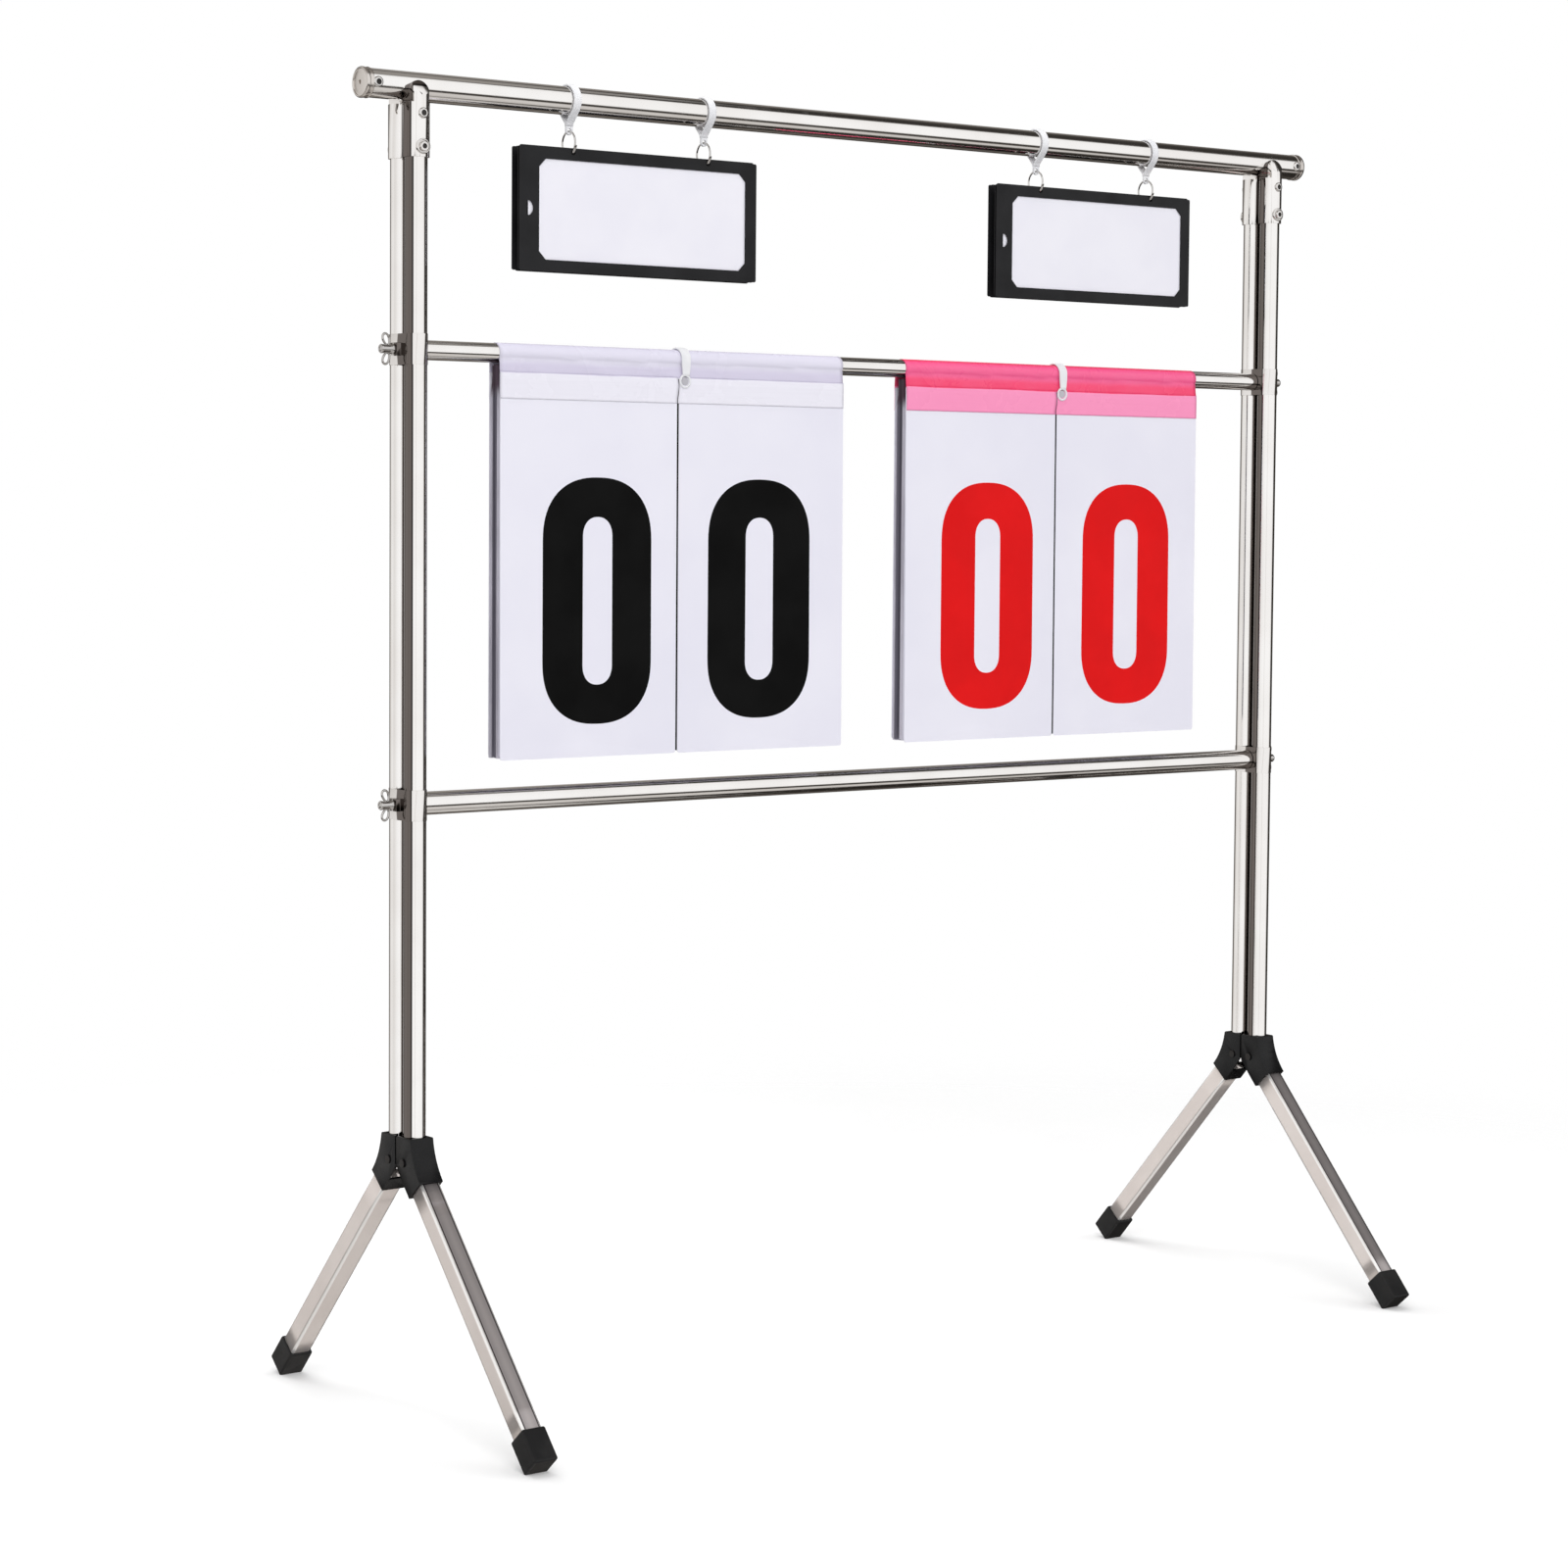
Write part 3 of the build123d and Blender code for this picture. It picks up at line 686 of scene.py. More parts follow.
PIN_STEEL = SteelFinish("pin_blackening", colour=(0.045, 0.043, 0.042), drift=(0.075, 0.07, 0.068),
                        clean=0.34, touched=0.46, stretch=PLAIN_LINES, line_scale=1500.0)
WIRE_STEEL = SteelFinish("ring_plating", colour=(0.52, 0.51, 0.50), stretch=(1.0, 0.2, 0.2),
                         line_scale=1500.0)
# The legs' finishes paint highlights, shade and a dark reflection line on the tube.
LEG_FRONT_STEEL = SteelFinish("leg_satin_front", colour=(0.80, 0.735, 0.70), drift=(0.75, 0.68, 0.645),
                              clean=0.14, touched=0.19, lean=LEG_LEAN, line_scale=1300.0,
                              strength=0.12, metal=0.62)
LEG_REAR_STEEL = replace(LEG_FRONT_STEEL, name="leg_satin_rear", lean=-LEG_LEAN)
KNUCKLE_NYLON = MouldedFinish("knuckle_nylon", (0.005, 0.005, 0.0055), (0.008, 0.008, 0.0085), 0.22, 0.32,
                              strength=0.2, sheen=0.22)
FOOT_RUBBER = MouldedFinish("foot_rubber", (0.008, 0.008, 0.0085), (0.015, 0.0145, 0.0145), 0.34, 0.48,
                            grain_scale=1100.0, strength=0.3, sheen=0.26)
HOOK_PLASTIC = MouldedFinish("hook_plastic", (0.83, 0.83, 0.85), (0.75, 0.755, 0.785), 0.3, 0.42,
                             grain_scale=900.0, grain_depth=0.00002, strength=0.05, coat=0.1)
# Grey plastic of the disc in the clip's eyelet, painted shade of the hole.
EYELET_SHADE_PLASTIC = MouldedFinish("rivet_plastic", (0.50, 0.49, 0.53), (0.45, 0.44, 0.48), 0.35, 0.45)
POCKET_VINYL = SheetFinish("pocket_vinyl", (0.0095, 0.0095, 0.0105), (0.014, 0.014, 0.0155),
                           cloud_scale=16.0, clean=0.36, touched=0.5, grain_scale=1300.0,
                           grain_depth=0.00008, strength=0.4, sheen=0.18)
CARD_STOCK = SheetFinish("card_stock", (0.85, 0.84, 0.905), (0.82, 0.81, 0.885), cloud_scale=9.0,
                         clean=0.5, touched=0.62, sheen=0.2)
LEAF_VINYL = SheetFinish("leaf_vinyl", (0.825, 0.815, 0.90), (0.79, 0.78, 0.875), cloud_scale=5.0,
                         sheen=0.25)
PILE_VINYL = StackFinish("stack_edges")
BLACK_INK = SheetFinish("ink_black", (0.004, 0.004, 0.004), (0.006, 0.006, 0.006),
                        cloud_scale=12.0, clean=0.5, touched=0.62, strength=0.1, sheen=0.04)
RED_INK = SheetFinish("ink_red", (0.76, 0.008, 0.009), (0.70, 0.007, 0.008), cloud_scale=12.0,
                      clean=0.5, touched=0.62, strength=0.1, sheen=0.08)
# Film colours: deep, pale, painted highlight over the upper rail, and the deeper tint along the crest.
LILAC_FILM = FilmFinish("film_lilac", (0.66, 0.62, 0.775), (0.86, 0.845, 0.93), (0.77, 0.745, 0.87),
                        (0.70, 0.67, 0.81))
PINK_FILM = FilmFinish("film_pink", (0.94, 0.050, 0.165), (0.985, 0.30, 0.54), (0.95, 0.115, 0.30),
                       (0.90, 0.030, 0.11))


MADE: dict[str, Material] = {}


def made(finish: Finish) -> Material:
    """Material of a finish, built when it is first asked for.

    Args:
        finish: Its description.

    Returns:
        The material.
    """
    if finish.name not in MADE:
        MADE[finish.name] = finish.build()
    return MADE[finish.name]


# ------------------------------------------------------------------ mesh helpers
def mesh_piece(name: str, points: list[Place], faces: list[Face], finishes: list[Finish],
               slots: list[int] | None = None, smooth: bool = True) -> Piece:
    """Make an object at the origin from points and faces.

    Args:
        name: Object name.
        points: Vertices in metres.
        faces: Vertex numbers of each face.
        finishes: Finishes of the object.
        slots: Finish number of each face.
        smooth: Whether faces are shaded smooth.

    Returns:
        The linked object.
    """
    mesh = bpy.data.meshes.new(name)
    mesh.from_pydata(points, [], faces)
    for finish in finishes:
        mesh.materials.append(made(finish))
    for polygon in mesh.polygons:
        polygon.use_smooth = smooth
        if slots:
            polygon.material_index = slots[polygon.index]
    mesh.validate()
    return linked(name, mesh)


def linked(name: str, data: bpy.types.ID) -> Piece:
    """Object at the origin, linked to the scene.

    Args:
        name: Object name.
        data: Its mesh, lamp or camera.

    Returns:
        The object.
    """
    item = bpy.data.objects.new(name, data)
    bpy.context.scene.collection.objects.link(item)
    return item


def place_piece(piece: Piece, body: str, slot: str, *nodes: str) -> Piece:
    """Give a finished piece its body and the nodes that it stands for, and report it.

    Args:
        piece: The finished piece.
        body: CAD body that it rides on.
        slot: Not used.
        nodes: CAD nodes that it replaces.

    Returns:
        The piece.
    """
    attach(piece, body)
    if nodes:
        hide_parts(*nodes)
    LOG.info("%s rides on %s, %d faces", piece.name, body, len(piece.data.polygons))
    return piece


def outward(piece: Piece, merge: float = 1e-6, crease: float = 180.0) -> Piece:
    """Drop loose points, merge doubles, turn every face outwards and crease the sharp edges.

    Args:
        piece: Piece whose mesh is closed.
        merge: Distance under which points are one, or 0 to merge none.
        crease: Edges from this many degrees on are shaded sharp.

    Returns:
        The piece.
    """
    work = bmesh.new()
    work.from_mesh(piece.data)
    bmesh.ops.delete(work, geom=[v for v in work.verts if not v.link_faces], context="VERTS")
    if merge:
        bmesh.ops.remove_doubles(work, verts=work.verts, dist=merge)
    bmesh.ops.recalc_face_normals(work, faces=work.faces)
    for edge in work.edges if crease < 180.0 else ():
        edge.smooth = edge.calc_face_angle(0.0) < math.radians(crease)
    work.to_mesh(piece.data)
    work.free()
    return piece


def skin(rows: int, across: int, closed: bool = False, tube: bool = True) -> list[Face]:
    """Quads between rows of points.

    Args:
        rows: Number of rows.
        across: Points in each row.
        closed: Whether the last row joins the first.
        tube: Whether the ends of a row join.

    Returns:
        Point numbers of each quad.
    """
    return [(i * across + k, i * across + (k + 1) % across,
             (i + 1) % rows * across + (k + 1) % across, (i + 1) % rows * across + k)
            for i in range(rows if closed else rows - 1) for k in range(across if tube else across - 1)]


def arc(x: float, z: float, radius: float, degrees: Iterable[float],
        tall: float | None = None) -> list[Point]:
    """Points on a circle, or on an ellipse.

    Args:
        x: Middle, first measure.
        z: Middle, second measure.
        radius: Radius.
        degrees: Angle of each point.
        tall: Radius along the second measure, where it differs.

    Returns:
        The points.
    """
    rise = radius if tall is None else tall
    return [(x + radius * math.cos(math.radians(a)), z + rise * math.sin(math.radians(a))) for a in degrees]


def spun(profile: list[Point], axis: Matrix, steps: int) -> list[Place]:
    """Points of a profile of (radius, height) spun round its own Z and then placed.

    Args:
        profile: The profile.
        axis: Placement.
        steps: Points round it.

    Returns:
        The points, ring by ring.
    """
    return [tuple(axis @ Vector((radius * math.cos(2 * math.pi * k / steps),
                                 radius * math.sin(2 * math.pi * k / steps), height)))
            for radius, height in profile for k in range(steps)]


def bake_modifiers(piece: Piece) -> None:
    """Turn a piece with its modifiers into a plain mesh.

    Args:
        piece: Piece whose modifiers are applied and removed.
    """
    bpy.context.view_layer.update()
    shaped = piece.evaluated_get(bpy.context.evaluated_depsgraph_get())
    mesh = bpy.data.meshes.new_from_object(shaped)
    piece.modifiers.clear()
    piece.data = mesh


def round_edges(piece: Piece, width: float, segments: int = 3, angle: float = 30.0) -> None:
    """Round the sharp edges of a piece and keep its flat faces flat.

    Args:
        piece: Piece to round.
        width: Width of the rounding in metres.
        segments: Faces across it.
        angle: Edges sharper than this many degrees are rounded.
    """
    bevel = piece.modifiers.new("rounding", "BEVEL")
    bevel.width = width
    bevel.segments = segments
    bevel.limit_method = "ANGLE"
    bevel.angle_limit = math.radians(angle)
    bevel.harden_normals = True
    bake_modifiers(piece)


def softened_copy(node: str, name: str, finish: Finish, width: float,
                  segments: int = 3) -> Piece:
    """Copy of a CAD node with its facets merged into plain faces and its edges rounded.

    Args:
        node: CAD node to copy.
        name: Name of the new piece.
        finish: Its finish.
        width: Width of the rounding in metres.
        segments: Faces across it.

    Returns:
        The new piece.
    """
    work = bmesh.new()
    work.from_mesh(bpy.data.objects[node].data)
    bmesh.ops.remove_doubles(work, verts=work.verts, dist=2e-6)
    bmesh.ops.dissolve_limit(work, angle_limit=math.radians(1.0), verts=work.verts, edges=work.edges)
    mesh = bpy.data.meshes.new(name)
    work.to_mesh(mesh)
    work.free()
    mesh.materials.clear()
    mesh.materials.append(made(finish))
    for polygon in mesh.polygons:
        polygon.material_index = 0
        polygon.use_smooth = True
    piece = linked(name, mesh)
    round_edges(piece, width, segments)
    return piece


def joined(name: str, pieces: list[Piece]) -> Piece:
    """Join several meshes at the origin into one.

    Args:
        name: Name of the result.
        pieces: Meshes to join; they are removed.

    Returns:
        The joined piece.
    """
    materials: list[Material] = []
    work = bmesh.new()
    for piece in pieces:
        start = len(work.faces)
        order = []
        for material in piece.data.materials:
            if material not in materials:
                materials.append(material)
            order.append(materials.index(material))
        work.from_mesh(piece.data)
        work.faces.ensure_lookup_table()
        for number in range(start, len(work.faces)):
            work.faces[number].material_index = order[work.faces[number].material_index]
        bpy.data.objects.remove(piece)
    mesh = bpy.data.meshes.new(name)
    work.to_mesh(mesh)
    work.free()
    for material in materials:
        mesh.materials.append(material)
    return linked(name, mesh)


def inside(point: Point, loop: list[Point]) -> bool:
    """Whether a point lies inside a closed outline.

    Args:
        point: The point.
        loop: The outline.

    Returns:
        True where it does.
    """
    x, z = point
    hit = False
    for (x0, z0), (x1, z1) in zip(loop, loop[1:] + loop[:1]):
        if (z0 > z) != (z1 > z) and x < (x1 - x0) * (z - z0) / (z1 - z0) + x0:
            hit = not hit
    return hit


@dataclass
class Plate:
    """Flat plate with holes and printed areas, cut on a grid so that it can bend.

    The outline is in (x, z). The plate lies at y and is thick towards +Y.
    """

    name: str
    outline: list[Point]
    y: float
    thick: float
    finishes: list[Finish]
    holes: list[list[Point]] = field(default_factory=list)
    prints: list[tuple[list[Point], int]] = field(default_factory=list)
    grid: float = 0.012
    bend: Callable[[float, float], float] | None = None
    back_slot: int | None = None

    def cut(self) -> tuple[list[Vector], list[Face], list[int]]:
        """Split the outline into faces.

        Returns:
            Points, faces, and the material of each face.
        """
        points: list[Vector] = []
        edges: list[tuple[int, int]] = []
        for loop in [self.outline, *self.holes, *[p for p, _ in self.prints]]:
            first = len(points)
            points += [Vector(p) for p in loop]
            edges += [(first + i, first + (i + 1) % len(loop)) for i in range(len(loop))]
        xs = [p[0] for p in self.outline]
        zs = [p[1] for p in self.outline]
        across = max(2, round((max(xs) - min(xs)) / self.grid))
        up = max(2, round((max(zs) - min(zs)) / self.grid))
        for i in range(1, across):
            for j in range(1, up):
                spot = (min(xs) + (max(xs) - min(xs)) * i / across, min(zs) + (max(zs) - min(zs)) * j / up)
                near = min((Vector(spot) - p).length for p in points[:len(edges)])
                if inside(spot, self.outline) and near > self.grid * 0.3:
                    points.append(Vector(spot))
        flat, _, triangles, *_ = delaunay_2d_cdt(points, edges, [], 0, 1e-7)
        faces = []
        slots = []
        for triangle in triangles:
            mid = sum((flat[i] for i in triangle), Vector((0.0, 0.0))) / len(triangle)
            if not inside(mid, self.outline) or any(inside(mid, hole) for hole in self.holes):
                continue
            slot = 0
            for loop, number in self.prints:
                if inside(mid, loop):
                    slot = number
            faces.append(tuple(triangle))
            slots.append(slot)
        return flat, faces, slots

    def build(self) -> Piece:
        """Make the plate's mesh with both faces and its edges.

        Returns:
            The plate.
        """
        flat, faces, slots = self.cut()
        lift = self.bend or (lambda x, z: 0.0)
        front = [(p.x, self.y + lift(p.x, p.y), p.y) for p in flat]
        back = [(x, y + self.thick, z) for x, y, z in front]
        count = len(front)
        area = sum((flat[b].x - flat[a].x) * (flat[c].y - flat[a].y)
                   - (flat[c].x - flat[a].x) * (flat[b].y - flat[a].y) for a, b, c in faces[:1])
        ordered = faces if area > 0 else [tuple(reversed(f)) for f in faces]
        rim: dict[tuple[int, int], int] = {}
        for a, b, c in ordered:
            for edge in ((a, b), (b, c), (c, a)):
                rim[edge] = rim.get(edge, 0) + 1
        quads = [(a, a + count, b + count, b) for a, b in rim if (b, a) not in rim]
        behind = [tuple(i + count for i in reversed(f)) for f in ordered]
        behind_slots = slots if self.back_slot is None else [self.back_slot] * len(slots)
        all_slots = slots + behind_slots + [0] * len(quads)
        piece = mesh_piece(self.name, front + back, ordered + behind + quads, self.finishes, all_slots)
        return outward(piece, 0.0, FLAT_CREASE)


def sweep(name: str, path: list[Point], width: float, thick: float, x_mid: float, finish: Finish,
          corner: float, closed: bool = False, widths: list[float] | None = None) -> Piece:
    """Strap with a rounded section carried along a path in the YZ plane.

    Args:
        name: Name of the piece.
        path: (y, z) points along the middle of the strap.
        width: Width along X.
        thick: Thickness across the path.
        x_mid: Middle of the strap along X.
        finish: Its finish.
        corner: Corner radius as a share of the thickness.
        closed: Whether the path closes on itself.
        widths: Share of the width at each point, where it changes.

    Returns:
        The strap.
    """
    radius = thick * corner
    hold = min(0.15 * radius, 0.2 * (min(width, thick) / 2 - radius))
    section: list[Point] = []
    for cx, cy, start in ((1, 1, 0), (-1, 1, 90), (-1, -1, 180), (1, -1, 270)):
        bend = arc(cx * (width / 2 - radius), cy * (thick / 2 - radius), radius, range(start, start + 91, 18))
        section += [*arc(*bend[0], hold, [start - 90]), *bend, *arc(*bend[-1], hold, [start + 180])]
    points = []
    count = len(path)
    for i, (y, z) in enumerate(path):
        before = path[i - 1] if closed or i else path[i]
        after = path[(i + 1) % count] if closed or i + 1 < count else path[i]
        run = Vector((after[0] - before[0], after[1] - before[1])).normalized()
        side = Vector((-run.y, run.x))
        share = widths[i] if widths else 1.0
        points += [(x_mid + u * share, y + side.x * v, z + side.y * v) for u, v in section]
    ring = len(section)
    faces = skin(count, ring, closed)
    if not closed:
        faces += [tuple(range(ring)), tuple(reversed(range((count - 1) * ring, count * ring)))]
    return outward(mesh_piece(name, points, faces, [finish]))


def lathe(name: str, profile: list[Point], axis: Matrix, finish: Finish, steps: int) -> Piece:
    """Turned shape: a profile of (radius, height) spun round its own Z and then placed.

    Args:
        name: Name of the piece.
        profile: Points from the axis and back to it.
        axis: Placement of the turned shape.
        finish: Its finish.
        steps: Faces round it.

    Returns:
        The turned piece.
    """
    rows = len(profile)
    ends = [tuple(reversed(range(steps))), tuple(range((rows - 1) * steps, rows * steps))]
    faces = skin(rows, steps) + ends
    piece = mesh_piece(name, spun(profile, axis, steps), faces, [finish])
    return outward(piece, 1e-7, TURNED_CREASE)


def ring_loop(x: float, z: float, radius: float) -> list[Point]:
    """Round hole as a closed loop of 20 points.

    Args:
        x: Middle along X.
        z: Middle along Z.
        radius: Radius.

    Returns:
        The loop.
    """
    return [(x + radius * math.cos(2 * math.pi * k / 20), z + radius * math.sin(2 * math.pi * k / 20))
            for k in range(20)]


def numeral_loops(numeral: Numeral, x: float, z: float) -> list[tuple[list[Point], bool]]:
    """Outlines of a printed numeral, each with whether it is inked.

    Args:
        numeral: Which numeral.
        x: Its middle along X.
        z: Its middle along Z.

    Returns:
        Loops in order, a later one lying over an earlier one.
    """
    if numeral is Numeral.ONE:
        shape = [(-34, 88), (-34, 128), (4, 140.5), (40, 140.5), (40, -140.5), (-14, -140.5), (-14, 88)]
        return [([(x + px * MM, z + pz * MM) for px, pz in shape], True)]
    loops = []
    for half, tall, cap, power, inked in ((74.8, 140.5, 73.0, 2.35, True), (20.2, 95.5, 23.0, 2.25, False)):
        loop = []
        for way in (1, -1):
            for k in range(41):
                angle = math.pi * k / 40 if way > 0 else math.pi + math.pi * k / 40
                cx = math.cos(angle)
                sz = math.sin(angle)
                px = half * math.copysign(abs(cx) ** (2 / power), cx)
                pz = way * (tall - cap) + cap * math.copysign(abs(sz) ** (2 / power), sz)
                loop.append((x + px * MM, z + pz * MM))
        loops.append((loop, inked))
    return loops


# ------------------------------------------------------------------ geometry node trees
@dataclass
class RuleTree:
    """A Geometry Nodes tree under construction, with named inputs for its sizes."""

    name: str
    tree: Tree = field(init=False)
    sizes: dict[str, str] = field(init=False)

    def __post_init__(self) -> None:
        """Start the tree with its geometry sockets."""
        self.tree = bpy.data.node_groups.new(self.name, "GeometryNodeTree")
        self.tree.interface.new_socket("Geometry", in_out="INPUT", socket_type="NodeSocketGeometry")
        self.tree.interface.new_socket("Geometry", in_out="OUTPUT", socket_type="NodeSocketGeometry")
        self.sizes = {}
        self.source = self.tree.nodes.new("NodeGroupInput")
        self.result = self.tree.nodes.new("NodeGroupOutput")

    def size(self, kind: str, *labels: str) -> None:
        """Add named inputs.

        Args:
            kind: Their socket type, without its NodeSocket.
            labels: Their names.
        """
        for label in labels:
            socket = self.tree.interface.new_socket(label, in_out="INPUT", socket_type="NodeSocket" + kind)
            self.sizes[label] = socket.identifier

    def read(self, label: str) -> Socket:
        """Socket of a named input inside the tree."""
        return self.source.outputs[label]

    def add(self, kind: str, settings: dict | None = None, **sockets: object) -> Node:
        """Add and wire a node, as Wiring does for shaders."""
        return Wiring(self.tree).add(kind, settings, **sockets)

    def make(self, name: str, values: dict[str, object], out: Socket,
             finish: Finish, seats: list[Place] | None = None) -> Piece:
        """Finish the tree, run it with the values, and return a plain mesh.

        Args:
            name: Name of the piece.
            values: Value of each named input.
            out: Geometry to put out.
            finish: Finish of the result.
            seats: Points that the tree is given, if it needs any.

        Returns:
            The piece, with no modifier left on it.
        """
        real = self.add("GeometryNodeRealizeInstances", None, Geometry=out)
        dressed = self.add("GeometryNodeSetMaterial", None, Geometry=real.outputs[0], Material=made(finish))
        self.tree.links.new(dressed.outputs[0], self.result.inputs[0])
        piece = mesh_piece(name, seats or [(0.0, 0.0, 0.0)], [], [])
        modifier = piece.modifiers.new("rule", "NODES")
        modifier.node_group = self.tree
        for label, value in values.items():
            modifier[self.sizes[label]] = value
        bake_modifiers(piece)
        piece.data.materials.clear()
        piece.data.materials.append(made(finish))
        for polygon in piece.data.polygons:
            polygon.material_index = 0
        return piece


def pile_rule(name: str, values: dict[str, object], finish: Finish) -> Piece:
    """Stack of thin sheets that is spread below and gathered at the neck under the rail.

    Args:
        name: Name of the piece.
        values: Count, Width, Height, Thick, First, Step, Neck low, Neck high, Gather and Seed.
        finish: Finish of the sheets.

    Returns:
        The stack as one mesh.
    """
    rule = RuleTree(name + "_rule")
    rule.size("Int", "Count", "Seed")
    rule.size("Float", "Width", "Height", "Thick", "Neck low", "Neck high", "Gather")
    rule.size("Vector", "First", "Step")
    size = rule.add("ShaderNodeCombineXYZ", None, X=rule.read("Width"), Y=rule.read("Thick"),
                    Z=rule.read("Height"))
    sheet = rule.add("GeometryNodeMeshCube", None, Size=size.outputs[0], Vertices_X=2, Vertices_Y=2,
                     Vertices_Z=48)
    line = rule.add("GeometryNodeMeshLine", {"mode": "OFFSET"}, Count=rule.read("Count"),
                    Start_Location=rule.read("First"), Offset=rule.read("Step"))
    jitter = rule.add("FunctionNodeRandomValue", {"data_type": "FLOAT_VECTOR"},
                      i0=(-0.0012, -0.0002, -0.0013),
                      i1=(0.0004, 0.0002, 0.0008), Seed=rule.read("Seed"))
    shaken = rule.add("GeometryNodeSetPosition", None, Geometry=line.outputs[0],
                      Offset=jitter.outputs[0])
    many = rule.add("GeometryNodeInstanceOnPoints", None, Points=shaken.outputs[0],
                    Instance=sheet.outputs[0])
    solid = rule.add("GeometryNodeRealizeInstances", None, Geometry=many.outputs[0])
    place = rule.add("GeometryNodeInputPosition")
    parts = rule.add("ShaderNodeSeparateXYZ", None, Vector=place.outputs[0])
    neck = rule.add("ShaderNodeMapRange", {"interpolation_type": "SMOOTHSTEP"}, Value=parts.outputs[2],
                    From_Min=rule.read("Neck low"), From_Max=rule.read("Neck high"),
                    To_Min=1.0, To_Max=rule.read("Gather"))
    pulled = rule.add("ShaderNodeMath", {"operation": "MULTIPLY"}, i0=parts.outputs[1], i1=neck.outputs[0])
    moved = rule.add("ShaderNodeCombineXYZ", None, X=parts.outputs[0], Y=pulled.outputs[0],
                     Z=parts.outputs[2])
    shaped = rule.add("GeometryNodeSetPosition", None, Geometry=solid.outputs[0],
                      Position=moved.outputs[0])
    return rule.make(name, values, shaped.outputs[0], finish)


def seat_rule(name: str, seats: list[Place], head: Piece, finish: Finish) -> Piece:
    """Turned heads at their seats, each looking along Y away from the middle of the stand.

    Args:
        name: Name of the piece.
        seats: Where the heads sit.
        head: Turned head that looks along +Z.
        finish: Finish of the heads.

    Returns:
        The heads as one mesh.
    """
    rule = RuleTree(name + "_rule")
    rule.size("Object", "Head")
    rule.size("Float", "Tilt")
    shape = rule.add("GeometryNodeObjectInfo", None, Object=rule.read("Head"))
    place = rule.add("GeometryNodeInputPosition")
    away = rule.add("ShaderNodeSeparateXYZ", None, Vector=place.outputs[0])
    way = rule.add("ShaderNodeMath", {"operation": "SIGN"}, i0=away.outputs[1])
    tilt = rule.add("ShaderNodeMath", {"operation": "MULTIPLY"}, i0=way.outputs[0], i1=rule.read("Tilt"))
    turn = rule.add("ShaderNodeCombineXYZ", None, X=tilt.outputs[0])
    heads = rule.add("GeometryNodeInstanceOnPoints", None, Points=rule.source.outputs["Geometry"],
                     Instance=shape.outputs["Geometry"], Rotation=turn.outputs[0])
    return rule.make(name, {"Head": head, "Tilt": -math.pi / 2}, heads.outputs[0], finish, seats)


def split_ring_rule(name: str, values: dict[str, object], finish: Finish) -> Piece:
    """Wire rings wound a little over one turn, one at each hook.

    Args:
        name: Name of the piece.
        values: Radius, Wire, Turns, Rise, First and Step of the rings.
        finish: Finish of the wire.

    Returns:
        The rings as one mesh.
    """
    rule = RuleTree(name + "_rule")
    rule.size("Float", "Radius", "Wire", "Turns", "Rise")
    rule.size("Vector", "First", "Step")
    coil = rule.add("GeometryNodeCurveSpiral", None, Resolution=72, Rotations=rule.read("Turns"),
                    Start_Radius=rule.read("Radius"), End_Radius=rule.read("Radius"),
                    Height=rule.read("Rise"))
    upright = rule.add("GeometryNodeTransform", None, Geometry=coil.outputs[0],
                       Rotation=(0.0, math.pi / 2, 0.0))
    wire = rule.add("GeometryNodeCurvePrimitiveCircle", None, Resolution=14, Radius=rule.read("Wire"))
    tube = rule.add("GeometryNodeCurveToMesh", None, Curve=upright.outputs[0],
                    Profile_Curve=wire.outputs[0], Fill_Caps=True)
    smooth = rule.add("GeometryNodeSetShadeSmooth", None, Geometry=tube.outputs[0])
    line = rule.add("GeometryNodeMeshLine", {"mode": "OFFSET"}, Count=2,
                    Start_Location=rule.read("First"), Offset=rule.read("Step"))
    both = rule.add("GeometryNodeInstanceOnPoints", None, Points=line.outputs[0],
                    Instance=smooth.outputs[0])
    return rule.make(name, values, both.outputs[0], finish)


# ------------------------------------------------------------------ stand
# Turned profiles as (radius, height), from the axis outwards and back.
CAP_PROFILE = [(0.0, 0.0), (0.0161, 0.0), (0.0168, 0.0004), (0.0170, 0.0012), (0.0168, 0.0020),
               (0.0164, 0.0024), (0.0164, 0.0050), (0.0168, 0.0054), (0.0170, 0.0064), (0.0170, 0.0084),
               (0.0166, 0.0093), (0.0158, 0.0097), (0.0150, 0.0094), (0.0145, 0.0084), (0.0138, 0.0083),
               (0.0122, 0.0088), (0.0080, 0.0093), (0.0026, 0.0095), (0.0021, 0.0091), (0.0020, 0.0070),
               (0.0, 0.0070)]
SLIM_HEAD = [(0.0, -0.0012), (0.0058, -0.0012), (0.0060, 0.0004), (0.0056, 0.0013), (0.0046, 0.0018),
             (0.0033, 0.0019), (0.0030, 0.0014), (0.0030, 0.0002), (0.0, 0.0002)]
WASHERED_HEAD = [(0.0, -0.0030), (0.0084, -0.0030), (0.0086, -0.0024), (0.0086, -0.0004), (0.0081, 0.0),
                 (0.0070, 0.0001), (0.0063, -0.0010), (0.0056, -0.0010), (0.0053, 0.0014),
                 (0.0048, 0.0021), (0.0036, 0.0024), (0.0029, 0.0023), (0.0027, 0.0017),
                 (0.0027, 0.0002), (0.0, 0.0002)]


def dress(node: str, finish: Finish) -> None:
    """Give a CAD node a finish.

    Args:
        node: Name of the node.
        finish: Its finish.
    """
    target = bpy.data.objects[node]
    target.data.materials.clear()
    target.data.materials.append(made(finish))
    LOG.info("%s keeps its CAD shape in %s", node, finish.name)


